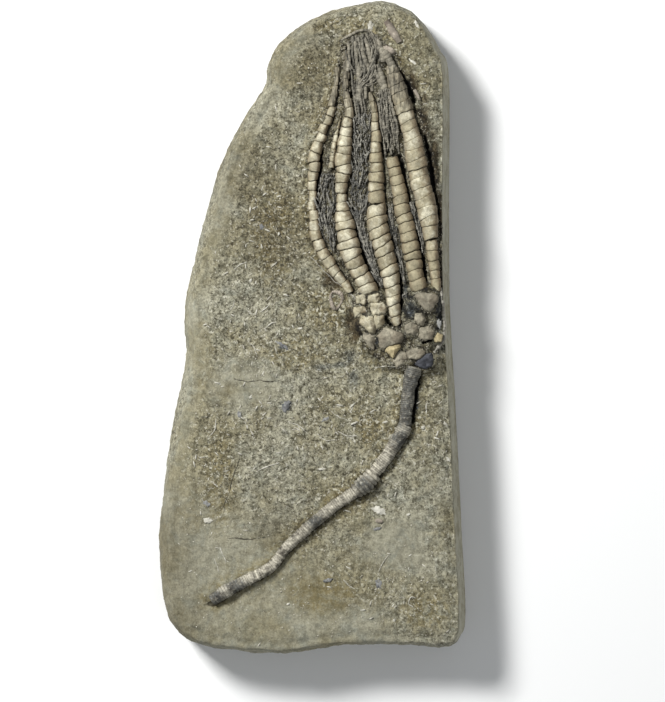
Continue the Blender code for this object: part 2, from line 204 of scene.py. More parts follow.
# How far each length of stem runs on past its ends, to meet the next.
STEM_REACH = {
    "stem_top": (1.3, 0.85), "stem_middle": (0.8, 0.6), "stem_collar": (0.6, 0.43),
    "stem_lower": (0.43, 0.55), "stem_end": (0.55, 0.0),
}
# Soft ovals where the stem is dark: x, y, half width, half height.
DUSKY_STEM = [
    (21.0, -12.0, 3.4, 5.0), (20.1, -18.0, 3.2, 5.0), (18.9, -24.6, 2.4, 2.6),
    (11.2, -34.2, 2.4, 2.2), (0.6, -42.0, 2.2, 2.0), (-16.5, -56.0, 2.6, 2.0),
    (-20.8, -58.4, 2.4, 2.0),
]
# The thickness of one disc of the stem.
STEM_DISC = {
    "stem_top": 0.42, "stem_middle": 0.45, "stem_collar": 0.95, "stem_lower": 0.5, "stem_end": 0.62,
}

PINNULES = {
    "pinnules_tips": [
        (10.5, 63, 4), (11.3, 59.5, 6), (11.4, 55, 5.4), (9.9, 51.5, 1.9), (10.6, 46, 2.1),
    ],
    "pinnules_left": [(3, 32, 2.8), (2.8, 27.5, 3.2), (3.3, 21, 2.5), (4.4, 16.8, 1.4)],
    "pinnules_middle": [
        (10.7, 45, 2.4), (10.6, 40, 3), (10.3, 34, 2.8), (9.8, 29.5, 3.4), (9.9, 25.8, 2.9),
        (10.4, 21.5, 1.4), (12.7, 14, 1.3), (14.7, 9.2, 0.8),
    ],
    "pinnules_right": [(16, 48, 2.4), (17.4, 38, 3.6)],
    "pinnules_inner_right": [(16.9, 25.5, 0.8), (17.1, 22.5, 1.1), (18.9, 14, 1), (19.8, 10, 0.8)],
    "pinnules_outer_right": [(21.7, 26, 1), (22.9, 21, 0.7), (23.9, 16.8, 0.6)],
    "pinnules_cup": [(20.4, 6.4, 1.3), (20.3, 4, 2.1), (19.9, 1.5, 1.2)],
}
PINNULE_COUNT = {
    "pinnules_tips": 190, "pinnules_left": 150, "pinnules_middle": 420, "pinnules_right": 120,
    "pinnules_inner_right": 80, "pinnules_outer_right": 56, "pinnules_cup": 26,
}
# How many steps a strand runs, and how far it drifts across its mat.
PINNULE_RUN = {"pinnules_tips": (7, 22), "pinnules_right": (7, 22)}
PINNULE_DRIFT = {"pinnules_tips": 0.30, "pinnules_right": 0.30}
# The share of broad strands in a mat.
PINNULE_BROAD = {"pinnules_tips": 0.6, "pinnules_right": 0.5, "pinnules_middle": 0.25}
# How far each mat's strands run past the ends of its route, above and below.
PINNULE_REACH = {
    "pinnules_tips": (0.0, 1.0), "pinnules_right": (3.5, 1.5), "pinnules_cup": (0.9, 2.0),
}
# Worn arm tips above the plated arms: x, y, width.
TIP_STRANDS = [
    [(9.8, 48.5, 1.2), (10.1, 53.5, 1.3), (9.6, 57.7, 1.1), (9.2, 61.6, 0.9)],
    [(13.0, 50.7, 0.8), (12.2, 54.9, 1.1), (10.8, 58.5, 1.0), (10.3, 61.8, 0.8)],
    [(15.8, 50.2, 1.0), (14.0, 54.2, 1.3), (12.6, 57.7, 1.2), (11.6, 61.6, 0.9)],
    [(17.6, 45.5, 0.8), (16.3, 50.0, 1.2), (15.0, 53.6, 1.4), (14.2, 56.6, 1.4)],
    [
        (15.2, 57.0, 1.2), (14.9, 59.6, 1.3), (14.2, 61.4, 1.1), (12.7, 62.6, 0.9),
        (11.4, 62.9, 0.6),
    ],
    [(7.6, 55.0, 0.7), (7.9, 58.5, 0.8), (7.7, 61.6, 0.7)],
    [(11.4, 49.0, 0.6), (11.3, 52.6, 0.7), (10.9, 56.0, 0.6)],
    [(17.4, 55.4, 1.5), (16.3, 57.8, 1.7), (14.9, 59.5, 1.5), (13.2, 61.0, 1.0)],
    [(6.2, 61.7, 0.4), (8.3, 63.0, 0.6), (10.2, 63.8, 0.6), (12.0, 63.7, 0.6), (14.2, 62.3, 0.5)],
]

# Cup plates: the crown's height over the face, then the corners.
CUP_PLATES = {
    "fork_plate_left": (
        3,
        [(10.6, 2.1), (12.8, 2.2), (13, 0.9), (13.4, -0.6), (13.1, -1.2), (12.3, -1), (10.4, 0.6)],
    ),
    "fork_plate_left_inner": (
        2.9,
        [(13.4, 2.2), (15.2, 2.2), (15.1, 0.9), (14.5, 0), (13.9, -0.2), (13.5, 0.9)],
    ),
    "fork_plate_right": (
        3,
        [
            (22.3, 6.5), (23.2, 7.1), (26, 7), (27, 5.9), (26, 4.6), (25.2, 3.4), (24.4, 3.5),
            (23.3, 5),
        ],
    ),
    "arm_base_left": (
        3,
        [(12.7, 4.8), (15, 4.9), (15.6, 3.9), (15.3, 2.7), (13.2, 2.6), (12.6, 3.7)],
    ),
    "arm_base_left_upper": (2.8, [(12.2, 6.5), (13.9, 6.8), (14.3, 5.9), (13.6, 5.3), (12.3, 5.3)]),
    "arm_base_outer_left": (2.2, [(9.5, 6.4), (10.9, 6.6), (11.6, 5.8), (11, 4.9), (9.9, 5.2)]),
    "arm_base_right": (
        2.6,
        [(22.3, 2.4), (23.3, 2.5), (24.1, 1.5), (23.6, 0.4), (22.9, 0.3), (22.2, 1.2)],
    ),
    "sliver_plate": (1.8, [(9, 3.9), (10.6, 4), (12.2, 3), (10.2, 2.4), (9.3, 2.1)]),
    "radial_plate_front": (
        2.9,
        [
            (15.2, -0.3), (17.2, -1.1), (18.9, -1.5), (19.3, -2.5), (18.6, -3.4), (16.6, -3.8),
            (15.4, -4.8), (14.6, -4.3), (14, -2.2),
        ],
    ),
    "radial_plate_right": (
        2.8,
        [
            (20.3, 0.2), (21.3, 0.7), (22.3, -0.1), (22.5, -0.9), (21.9, -1.8), (20.8, -1.5),
            (20.1, -0.7),
        ],
    ),
    "radial_plate_outer_right": (
        2.4,
        [(23.2, -0.6), (24.9, -0.3), (25.9, -1.2), (25.6, -2.4), (24, -2.8), (23, -2)],
    ),
    "basal_plate_left": (
        2,
        [
            (11.1, -1.3), (12.3, -1.7), (13.3, -2), (13.2, -3.2), (13, -4.8), (12.2, -4.2),
            (11.3, -2.6),
        ],
    ),
    "basal_plate_front": (
        2,
        [
            (18.1, -6.1), (18.9, -5.4), (19.8, -5.9), (20, -7), (19.5, -8.2), (18.4, -8.6),
            (17.6, -7.6),
        ],
    ),
    "basal_plate_yellow": (
        2.1,
        [(16.4, -4.3), (18.6, -3.9), (18.7, -4.6), (17.7, -5.6), (17.3, -6.6), (16, -5.3)],
    ),
    "basal_plate_right": (
        2.3,
        [
            (20.4, -5.7), (21.5, -5), (23, -5), (24.4, -5.3), (24.1, -6), (22.4, -6.9), (21, -6.7),
        ],
    ),
    "basal_plate_dark": (
        2,
        [
            (22.3, -8), (23.4, -7.1), (24.6, -6.3), (25.4, -6), (25.6, -7.4), (25.2, -8.4),
            (23.9, -8.9),
        ],
    ),
    "crust_lump": (1.6, [(26.4, -2.4), (27, -1.9), (27.8, -2), (27.4, -3), (26.6, -3.1)]),
}

# Shell lumps: middle, half sizes, turn.
SHELL_LUMPS = {
    "shell_lump": ((16.6, 59.6), (1.5, 0.7, 0.6), -0.5),
    "shell_sliver": ((22.5, 50.1), (1.5, 0.4, 0.4), -1.1),
    "shell_white": ((14.4, -42.0), (0.9, 0.5, 0.4), -0.2),
}
SHELL_RIDGE = [(16, 66, 0.9), (17.4, 63.6, 1.4), (18.8, 61.3, 1)]
SHELL_RING_CENTRE = (5.1, 5.8)
SHELL_RING_SIZE = (1.25, 1.8)

# Flat shell bits in the rock: x, y, half length, half width, turn.
PALE_SPOTS = [
    (14.4, -39.8, 1.4, 1.0, -0.3), (-22.6, -41.9, 0.9, 0.7, 0.2), (12.5, 64.9, 0.7, 0.9, 0.4),
    (8.4, -17.2, 0.9, 0.25, 0.8), (9.0, -20.9, 0.8, 0.25, 0.5), (28.6, -21.0, 0.9, 0.3, -0.6),
    (29.2, -28.6, 0.9, 0.3, -0.7), (15.7, -20.6, 0.7, 0.3, 0.4), (22.5, 65.3, 1.0, 0.35, -0.9),
    (21.8, 57.0, 1.0, 0.3, -0.5), (-13.4, -15.2, 0.6, 0.25, 0.9), (2.0, -30.8, 0.7, 0.3, 0.1),
    (20.7, -40.6, 0.4, 0.3, 0.5), (17.6, -63.5, 0.4, 0.3, 0.0), (-5.2, -59.9, 0.4, 0.25, 0.3),
    (23.9, -21.8, 0.6, 0.35, 0.2), (-13.4, 9.9, 0.5, 0.25, 0.7), (-5.8, 6.8, 0.5, 0.2, -0.4),
    (-2.7, -0.4, 0.6, 0.25, 0.3), (-7.3, 20.0, 0.5, 0.2, 1.1), (5.8, -17.0, 0.8, 0.2, -0.3),
]
GREY_SPOTS = [
    (-5.7, -17.2, 1.2, 0.8, 0.9), (-6.4, -4.2, 1.7, 0.45, -0.7), (2.9, -20.0, 0.9, 0.4, 0.6),
    (-15.9, -18.9, 0.5, 0.9, 0.1), (-23.0, -38.1, 0.9, 0.6, -0.5), (14.3, -55.6, 0.6, 1.3, 0.1),
    (3.3, -54.8, 1.0, 0.4, 0.4), (13.9, -43.7, 0.8, 0.4, 0.2), (-11.0, 21.5, 0.4, 0.8, 0.3),
    (27.2, 0.6, 0.5, 1.2, 0.0),
]
# Threads that lie in the rock: x, y, width.
CRACKS = [
    [
        (-17.0, -11.3, 0.12), (-13.9, -11.9, 0.16), (-11.6, -11.6, 0.14), (-9.4, -12.0, 0.16),
        (-7.0, -11.6, 0.10),
    ],
    [(-18.0, -45.7, 0.12), (-14.0, -45.9, 0.16), (-9.8, -45.5, 0.10)],
    [(-15.7, -28.4, 0.10), (-17.2, -32.5, 0.16), (-18.0, -35.7, 0.14), (-19.3, -39.0, 0.10)],
]
SHELL_EDGES = [
    [(13.3, -8.9, 0.14), (16.0, -8.6, 0.18), (19.0, -8.8, 0.14)],
    [(-22.6, -24.0, 0.14), (-21.2, -22.4, 0.22), (-20.9, -20.0, 0.16)],
    [(-11.8, -31.2, 0.14), (-9.6, -30.2, 0.24), (-7.2, -29.4, 0.14)],
    [(-4.6, -20.6, 0.14), (-2.6, -21.6, 0.24), (-1.2, -23.4, 0.14)],
    [(4.0, -18.0, 0.12), (5.6, -19.6, 0.2), (7.4, -20.2, 0.12)],
    [(-14.2, -3.0, 0.14), (-12.6, -4.6, 0.22), (-12.0, -6.6, 0.14)],
    [(16.3, -49.4, 0.12), (15.2, -51.0, 0.2), (14.2, -53.0, 0.12)],
    [(-20.2, -47.8, 0.12), (-19.2, -49.4, 0.22), (-18.8, -51.2, 0.12)],
    [(-21.4, -50.0, 0.12), (-20.6, -51.6, 0.18), (-20.4, -53.0, 0.12)],
    [(22.4, -58.6, 0.12), (21.2, -58.4, 0.2), (20.8, -59.8, 0.2), (21.6, -60.8, 0.12)],
    [(0.8, -23.2, 0.12), (2.6, -24.4, 0.2), (4.8, -24.6, 0.12)],
    [(5.4, -22.6, 0.12), (7.4, -23.6, 0.22), (9.6, -23.6, 0.12)],
    [(6.6, -54.6, 0.12), (7.6, -56.0, 0.18), (9.2, -56.6, 0.12)],
    [(-16.9, 12.4, 0.12), (-15.6, 13.4, 0.2), (-14.2, 13.9, 0.12)],
    [(-11.4, 3.0, 0.12), (-10.3, 3.8, 0.22), (-9.2, 4.8, 0.12)],
    [(-10.2, -0.4, 0.14), (-9.0, 0.6, 0.26), (-7.8, 0.9, 0.14)],
    [(-18.0, 3.4, 0.12), (-17.2, 4.4, 0.18), (-16.9, 5.6, 0.12)],
]
CUP_RIDGES = [
    [
        (27.6, 8.2, 0.5), (28.1, 3.7, 0.7), (28.4, 0.5, 0.7), (28.3, -2.7, 0.8),
        (27.2, -4.3, 0.7), (26.2, -5.6, 0.5),
    ],
    [
        (-1.2, 15.4, 0.1), (0.8, 13.7, 0.15), (4.0, 10.4, 0.2), (6.8, 8.2, 0.25),
        (9.4, 5.6, 0.25), (11.7, 3.2, 0.2),
    ],
]

# Crevices left beside the arms where the rock was cut away, cut deep and painted dark as shadow: x, y,
# width.
CREVICES = [
    [(4.9, 49.8, 0.5), (3.9, 46.4, 0.7), (2.6, 42.4, 0.6)],
    [(1.7, 37.6, 0.7), (1.6, 34.9, 0.9), (1.1, 30.0, 1.0), (1.0, 25.0, 0.9)],
    [(8.6, 25.2, 0.8), (9.5, 21.0, 1.2), (10.3, 17.2, 1.3), (11.6, 12.8, 1.1), (13.6, 8.6, 0.9)],
    [(15.9, 20.6, 0.6), (17.2, 16.9, 0.9), (18.4, 12.0, 0.9), (18.9, 7.0, 0.8), (18.8, 4.0, 0.6)],
    [
        (18.9, 36.6, 0.8), (19.9, 31.4, 0.9), (20.8, 26.0, 1.0), (22.2, 20.6, 1.1),
        (23.4, 15.5, 1.0), (24.4, 10.2, 0.8),
    ],
    [(19.0, 54.9, 0.8), (20.7, 51.9, 1.1), (22.0, 48.6, 0.7)],
    [(24.3, 41.0, 0.4), (25.2, 36.0, 0.9), (26.4, 29.5, 0.6), (27.2, 24.0, 0.4)],
    [(8.3, 59.2, 0.4), (8.4, 54.0, 0.5), (8.6, 50.0, 0.4)],
    [(8.9, 43.0, 1.0), (9.2, 38.5, 0.8), (9.0, 34.0, 0.5)],
    [(14.6, 48.4, 0.4), (15.4, 42.4, 0.6), (15.9, 38.0, 0.7)],
    [(15.6, 1.9, 0.4), (16.5, 0.7, 0.5), (17.6, -0.1, 0.4)],
    [(24.0, -3.3, 0.2), (25.4, -3.0, 0.2)],
    [(22.9, -10.2, 0.6), (22.3, -13.5, 0.9), (21.8, -17.0, 0.8), (21.6, -20.6, 0.6)],
]
CREVICE_DEPTH = 1.3

CAMERA_HEIGHT = 600.0  # over the face
CAMERA_AIM = (4.3, -5.3)
FIELD_HEIGHT = 151.6  # what the camera sees of the face, along its longer side
SENSOR = 36.0

# ---------------------------------------------------------------- finishes
# Calcite plates: the light, shade, flank, seam and faded colours. The flank colour is painted shade with
# brown stain on the plates' sides.
CALCITE_FINISHES = {
    "cup calcite": (
        (0.36, 0.325, 0.24), (0.20, 0.180, 0.132), (0.16, 0.135, 0.095), (0.040, 0.036, 0.030),
        (0.14, 0.135, 0.125),
    ),
    "dark calcite": (
        (0.080, 0.083, 0.095), (0.045, 0.047, 0.055), (0.030, 0.030, 0.034), (0.014, 0.014, 0.014),
        (0.05, 0.05, 0.055),
    ),
    "yellow calcite": (
        (0.50, 0.43, 0.25), (0.33, 0.27, 0.15), (0.22, 0.17, 0.08), (0.060, 0.048, 0.028),
        (0.3, 0.26, 0.17),
    ),
    "shell": (
        (0.36, 0.315, 0.25), (0.23, 0.195, 0.155), (0.15, 0.12, 0.09), (0.08, 0.06, 0.045),
        (0.2, 0.17, 0.13),
    ),
}
# Ribbed and strewn pieces: the dark, light and seam colours, and how far they are patched with
# dark, shaded low down and speckled, where that isn't as usual.
STRAND_FINISHES = {
    "chip calcite": ((0.16, 0.14, 0.09), (0.62, 0.59, 0.49), (0.2, 0.18, 0.12)),
    "sliver calcite": ((0.28, 0.26, 0.205), (0.62, 0.60, 0.52), (0.2, 0.18, 0.12)),
    "crumb calcite": ((0.035, 0.033, 0.027), (0.34, 0.31, 0.235), (0.1, 0.09, 0.06)),
    "stem calcite": (
        (0.075, 0.066, 0.050), (0.58, 0.54, 0.43), (0.060, 0.052, 0.036), 0.5, 0.5, 0.25,
    ),
    "pinnule calcite": (
        (0.034, 0.035, 0.035), (0.36, 0.34, 0.28), (0.024, 0.023, 0.020), 0.75, 0.85,
    ),
    "soft pinnule calcite": (
        (0.066, 0.062, 0.051), (0.30, 0.275, 0.212), (0.05, 0.045, 0.035), 0.6, 0.75,
    ),
    "tip calcite": ((0.085, 0.078, 0.060), (0.32, 0.29, 0.22), (0.08, 0.07, 0.05), 0.5, 0.4),
    "pale shell": ((0.30, 0.285, 0.23), (0.62, 0.60, 0.52), (0.25, 0.22, 0.17)),
    "grey shell": ((0.085, 0.088, 0.092), (0.34, 0.335, 0.31), (0.06, 0.06, 0.06)),
    "crack shadow": ((0.012, 0.010, 0.006), (0.07, 0.06, 0.04), (0.02, 0.02, 0.01)),
    "ridge calcite": ((0.17, 0.16, 0.135), (0.38, 0.36, 0.30), (0.12, 0.105, 0.085)),
}
# Patches painted on the rock: how ragged each is, where its tint starts and is full, and the tint.
ROCK_PATCHES = (
    # The dark patch is painted shade right of the outer right arm, and dark brown rock by the cup.
    ("dark", 0.35, 0.35, 1.0, (0.30, 0.25, 0.19)),
    ("blue", 0.6, 0.55, 1.15, (0.24, 0.29, 0.43)),
    ("haze", 0.4, 0.30, 1.2, (0.60, 0.65, 0.78)),
)


# ---------------------------------------------------------------- number helpers
LOOP_STEPS = 8  # points to each span of a closed curve
ROUTE_STEPS = 12  # the same for a route


def smooth_step(values, low, high):
    """0 below low, 1 above high, and an S curve between."""
    t = np.clip((values - low) / (high - low), 0.0, 1.0)
    return t * t * (3.0 - 2.0 * t)


def fractal(points, size, octaves, shift=0.0):
    """Fractal noise of about -1 to 1 at each point, with features of the given size."""
    offset = Vector((shift, shift * 0.7, shift * 1.3))
    return np.array(
        [noise.fractal(Vector(p) / size + offset, 1.0, 2.0, octaves) for p in points.tolist()]
    )


def at_level(spots, level=0.0):
    """The spots as points at one height."""
    return np.column_stack([spots, np.full(len(spots), level)])


def curve_point(before, start, end, after, t):
    """A point of the Catmull-Rom curve from start to end."""
    pull = (end - before) * t + (2 * before - 5 * start + 4 * end - after) * t**2
    pull = pull + (3 * (start - end) + after - before) * t**3
    return start + pull * 0.5


def lengths_along(rows):
    """How far along a line each of its rows lies."""
    return np.concatenate([[0.0], np.cumsum(np.hypot(*np.diff(rows[:, :2], axis=0).T))])


def rows_at(rows, along, wanted):
    """The rows of a line at the wanted lengths along it."""
    return np.stack([np.interp(wanted, along, column) for column in rows.T], axis=1)


def even_loop(corners, step):
    """Evenly spaced points on the closed curve through the corners, with their outward normals."""
    points = []
    for i in range(len(corners)):
        knots = [Vector(corners[(i + k) % len(corners)]) for k in (-1, 0, 1, 2)]
        points += [tuple(curve_point(*knots, k / LOOP_STEPS)) for k in range(LOOP_STEPS)]
    closed = np.array([*points, points[0]])
    along = lengths_along(closed)
    count = int(along[-1] / step)
    loop = rows_at(closed, along, np.linspace(0.0, along[-1], count, endpoint=False))
    tangent = np.roll(loop, -2, axis=0) - np.roll(loop, 2, axis=0)
    tangent /= np.linalg.norm(tangent, axis=1, keepdims=True)
    return loop, np.stack([-tangent[:, 1], tangent[:, 0]], axis=1)


def sample_route(route, step):
    """Evenly spaced rows of x, y and width along a route, on a curve through its points."""
    knots = np.array(route)
    ends = np.vstack([2 * knots[0] - knots[1], knots, 2 * knots[-1] - knots[-2]])
    shares = np.linspace(0.0, 1.0, ROUTE_STEPS, endpoint=False)
    rows = []
    for i in range(1, len(ends) - 2):
        rows += [curve_point(*ends[i - 1 : i + 3], t) for t in shares]
    rows = np.array([*rows, knots[-1]])
    along = lengths_along(rows)
    count = max(2, int(round(along[-1] / step)) + 1)
    return rows_at(rows, along, np.linspace(0.0, along[-1], count))


def nearest_on_route(spots, route, step=0.4):
    """For each spot: the distance to the route's edge (negative inside) and the side, +1 right."""
    line = sample_route(route, step)
    along = np.gradient(line[:, :2], axis=0)
    along /= np.linalg.norm(along, axis=1, keepdims=True)
    edge = np.full(len(spots), FAR)
    side = np.ones(len(spots))
    low = line[:, :2].min(0) - ROUTE_REACH
    high = line[:, :2].max(0) + ROUTE_REACH
    near = np.where(((spots > low) & (spots < high)).all(axis=1))[0]
    if len(near):
        away = spots[near, None, :] - line[None, :, :2]
        distance = np.linalg.norm(away, axis=2)
        best = distance.argmin(axis=1)
        rows = np.arange(len(near))
        across = along[best, 1] * -away[rows, best, 0] + along[best, 0] * away[rows, best, 1]
        edge[near] = distance[rows, best] - line[best, 2] / 2
        side[near] = np.sign(across)
    return edge, side


def inside_loop(spots, loop):
    """Which spots lie inside a closed loop."""
    inside = np.zeros(len(spots), bool)
    x, y = spots.T
    for (x0, y0), (x1, y1) in zip(loop, np.roll(loop, -1, axis=0)):
        if y0 != y1:
            crosses = (y0 > y) != (y1 > y)
            inside ^= crosses & (x < (x1 - x0) * (y - y0) / (y1 - y0) + x0)
    return inside


def blobs(spots, places):
    """How far each spot lies within soft ovals, 0 to 1."""
    value = np.zeros(len(spots))
    for x, y, wide, tall in places:
        value = np.maximum(value, np.exp(-(((spots - (x, y)) / (wide, tall)) ** 2).sum(axis=1)))
    return value


# ---------------------------------------------------------------- mesh helpers
class Shape:
    """The points, faces and painted values of a mesh under way, in millimetres."""

    def __init__(self):
        self.points = []
        self.faces = []
        self.values = {}

    def add_rings(self, rings, **values):
        """A closed tube of rings with flat ends. Each value is one number, or one for each point."""
        count, around = rings.shape[:2]
        start = sum(len(block) for block in self.points)
        self.points.append(rings.reshape(-1, 3))
        for name, value in values.items():
            spread = np.broadcast_to(np.asarray(value, float), (count, around))
            self.values.setdefault(name, []).append(spread.reshape(-1))
        for row in range(start, start + (count - 1) * around, around):
            for k in range(around):
                a, b = row + k, row + (k + 1) % around
                self.faces.append((a, b, b + around, a + around))
        last = start + (count - 1) * around
        self.faces.append(tuple(start + k for k in reversed(range(around))))
        self.faces.append(tuple(last + k for k in range(around)))

    def mesh(self, name, material):
        """The finished mesh, in metres, with its faces turned outwards."""
        data = bpy.data.meshes.new(name)
        data.from_pydata((np.vstack(self.points) * MM).tolist(), [], self.faces)
        for label, blocks in self.values.items():
            paint(data, label, np.concatenate(blocks))
        turn_outwards(data)
        return dress(data, material)


def paint(data, label, values):
    """Stores a number at every point of a mesh, for its material to read."""
    layer = data.attributes.new(label, "FLOAT", "POINT")
    layer.data.foreach_set("value", np.asarray(values, np.float32))


def dress(data, material):
    """Gives a mesh its material and smooth shading."""
    data.shade_smooth()
    data.materials.append(material)
    return data


def turn_outwards(data):
    """Turns the faces of a closed mesh outwards."""
    mesh = bmesh.new()
    mesh.from_mesh(data)
    bmesh.ops.recalc_face_normals(mesh, faces=mesh.faces)
    mesh.to_mesh(data)
    mesh.free()


def read_rows(data, what):
    """The co or the normal of every point of a mesh, as rows."""
    rows = np.empty(len(data.vertices) * 3)
    data.vertices.foreach_get(what, rows)
    return rows.reshape(-1, 3)


def move_points(data, points):
    """Moves the points of a mesh to places in millimetres."""
    data.vertices.foreach_set("co", (points * MM).reshape(-1))
    data.update()


def roughen(data, size, amount):
    """Wears a mesh's surface by noise along its normals."""
    points = read_rows(data, "co") / MM
    wear = fractal(points, size, 4) * amount
    move_points(data, points + read_rows(data, "normal") * wear[:, None])


def evaluated_mesh(thing, name):
    """The plain mesh that an object's modifiers give. The object itself is removed."""
    graph = bpy.context.evaluated_depsgraph_get()
    data = bpy.data.meshes.new_from_object(thing.evaluated_get(graph))
    data.name = name
    source = thing.data
    bpy.data.objects.remove(thing)
    store = bpy.data.curves if isinstance(source, bpy.types.Curve) else bpy.data.meshes
    store.remove(source)
    return data


def link_object(name, data):
    """A new object in the scene."""
    made = bpy.data.objects.new(name, data)
    bpy.context.scene.collection.objects.link(made)
    return made


def link_piece(name, data, slot, *nodes):
    """Puts a finished mesh in the scene, riding on the slab's body, in place of its CAD nodes."""
    piece = link_object(name, data)
    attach(piece, "root")
    if nodes:
        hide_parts(*nodes)
    return piece


# ---------------------------------------------------------------- node helpers
def put(tree, kind, settings=None, **sockets):
    """Adds a node. Settings are its own values, and sockets are its inputs by name."""
    made = tree.nodes.new(kind)
    for key, value in (settings or {}).items():
        setattr(made, key, value)
    for key, value in sockets.items():
        feed(made.inputs[key.replace("_", " ")], value)
    return made


def feed(socket, value):
    """Links an input to an output, or sets its value."""
    if isinstance(value, bpy.types.NodeSocket):
        socket.id_data.links.new(value, socket)
    else:
        socket.default_value = value


def tree_of(*values):
    """The tree of the first of the values that is a socket."""
    return next(value.id_data for value in values if isinstance(value, bpy.types.NodeSocket))


def calc(operation, first, second=0.0, clamp=False):
    """A Math node on outputs and numbers."""
    settings = {"operation": operation, "use_clamp": clamp}
    made = put(tree_of(first, second), "ShaderNodeMath", settings)
    feed(made.inputs[0], first)
    feed(made.inputs[1], second)
    return made.outputs[0]


def add(*values):
    """The sum of outputs and numbers."""
    return functools.reduce(functools.partial(calc, "ADD"), values)


def times(first, second):
    """The product of two outputs or numbers."""
    return calc("MULTIPLY", first, second)


def less(first, second, clamp=False):
    """The first less the second."""
    return calc("SUBTRACT", first, second, clamp)


def swing(value, far):
    """A value of 0 to 1 as a swing round 0."""
    return times(less(value, 0.5), far)


def ramp(value, low, high, start=0.0, end=1.0):
    """Maps low..high to start..end on an S curve."""
    made = put(
        value.id_data, "ShaderNodeMapRange", {"interpolation_type": "SMOOTHSTEP"},
        Value=value, From_Min=low, From_Max=high, To_Min=start, To_Max=end,
    )
    return made.outputs["Result"]


def rgba(colour):
    """A colour with its alpha, or the output that gives it."""
    if isinstance(colour, bpy.types.NodeSocket):
        return colour
    return (*colour, 1.0)


def mix(factor, first, second, blend="MIX"):
    """Mixes two colours."""
    settings = {"data_type": "RGBA", "blend_type": blend, "clamp_factor": True}
    made = put(tree_of(factor, first, second), "ShaderNodeMix", settings, Factor=factor)
    feed(typed(made.inputs, "RGBA", "A"), rgba(first))
    feed(typed(made.inputs, "RGBA", "B"), rgba(second))
    return typed(made.outputs, "RGBA")


def tinted(body, amount, tint):
    """The body colour multiplied by a tint where the amount is high."""
    return mix(1.0, body, mix(amount, (1.0, 1.0, 1.0), tint), "MULTIPLY")


def shaded(body, value):
    """The body colour multiplied by one value."""
    grey = body.id_data.nodes.new("ShaderNodeCombineColor")
    for socket in grey.inputs:
        feed(socket, value)
    return mix(1.0, body, grey.outputs[0], "MULTIPLY")


def mottle(spots, size, detail=4.0, rough=0.6, warp=0.0):
    """Noise with features of the given size in millimetres."""
    return noise_at(spots, 1.0 / (size * MM), detail, rough, warp)


def noise_at(spots, scale, detail, rough, warp=0.0):
    """Noise of a given scale."""
    made = put(
        spots.id_data, "ShaderNodeTexNoise", Vector=spots, Scale=scale, Detail=detail,
        Roughness=rough, Distortion=warp,
    )
    return made.outputs["Fac"]


def drawn_out(spots, size, scale, turn=0.0, warp=0.3):
    """Noise drawn out along Y, or along a line turned from it."""
    made = put(
        spots.id_data, "ShaderNodeMapping", Vector=spots, Rotation=(0.0, 0.0, turn),
        Scale=(1.0, scale, 1.0),
    )
    return mottle(made.outputs["Vector"], size, 4.0, 0.6, warp)


def moved(spots, far):
    """The same coordinates, moved so that a second noise doesn't repeat the first."""
    made = put(spots.id_data, "ShaderNodeVectorMath", {"operation": "ADD"})
    feed(made.inputs[0], spots)
    feed(made.inputs[1], (far, far * 0.6, far * 0.3))
    return made.outputs[0]


def hair_lines(spots, far, amount):
    """Thin broken curves, as a mask of the given strength."""
    field = mottle(moved(spots, far), 3.4, 3.0, 0.55, 2.2)
    line = ramp(calc("ABSOLUTE", less(field, 0.5)), 0.003, 0.018, 1.0, 0.0)
    broken = ramp(mottle(moved(spots, far * 2.0), 1.6, 3.0, 0.6), 0.52, 0.60)
    return times(times(line, broken), amount)


def painted(tree, label):
    """A number painted on the mesh."""
    return put(tree, "ShaderNodeAttribute", {"attribute_name": label}).outputs["Fac"]


def typed(sockets, kind, name=None):
    """The first socket of a kind, for nodes that have several of one name."""
    fits = (socket for socket in sockets if socket.type == kind and name in (None, socket.name))
    return next(fits)


def new_tree(name, kind, linked, numbers, outputs):
    """An empty tree's inputs, those to be linked and those with a default, and its outputs."""
    tree = bpy.data.node_groups.new(name, kind)
    for label, socket_kind in linked.items():
        tree.interface.new_socket(label, in_out="INPUT", socket_type="NodeSocket" + socket_kind)
    for label, default in numbers.items():
        socket_kind = {float: "Float", int: "Int", str: "String"}[type(default)]
        socket = tree.interface.new_socket(
            label, in_out="INPUT", socket_type="NodeSocket" + socket_kind
        )
        socket.default_value = default
    for label, socket_kind in outputs.items():
        tree.interface.new_socket(label, in_out="OUTPUT", socket_type="NodeSocket" + socket_kind)
    return tree.nodes.new("NodeGroupInput").outputs, tree.nodes.new("NodeGroupOutput").inputs


def use_group(name, spots, **sockets):
    """Places a shader group on the coordinates and gives what it puts out."""
    group = {"node_tree": bpy.data.node_groups[name]}
    return put(spots.id_data, "ShaderNodeGroup", group, Vector=spots, **sockets).outputs[0]


def make_grain_group():
    """Rock grain at two sizes, as a value for colour and height."""
    given, result = new_tree(
        "Stone grain", "ShaderNodeTree", {"Vector": "Vector"}, {"Grain Scale": 3000.0, "Coarse": 0.4},
        {"Value": "Float"},
    )
    fine = noise_at(given["Vector"], given["Grain Scale"], 5.0, 0.75)
    broad = noise_at(given["Vector"], times(given["Grain Scale"], 0.28), 5.0, 0.65)
    feed(result["Value"], add(fine, times(less(broad, fine), given["Coarse"])))


def make_speck_group():
    """Scattered specks with ragged edges, as a mask."""
    given, result = new_tree(
        "Mineral specks", "ShaderNodeTree", {"Vector": "Vector"}, {"Speck Scale": 1500.0, "Amount": 0.3},
        {"Mask": "Float"},
    )
    over = less(noise_at(given["Vector"], given["Speck Scale"], 3.0, 0.55), less(1.0, given["Amount"]))
    feed(result["Mask"], calc("MULTIPLY", over, 14.0, clamp=True))


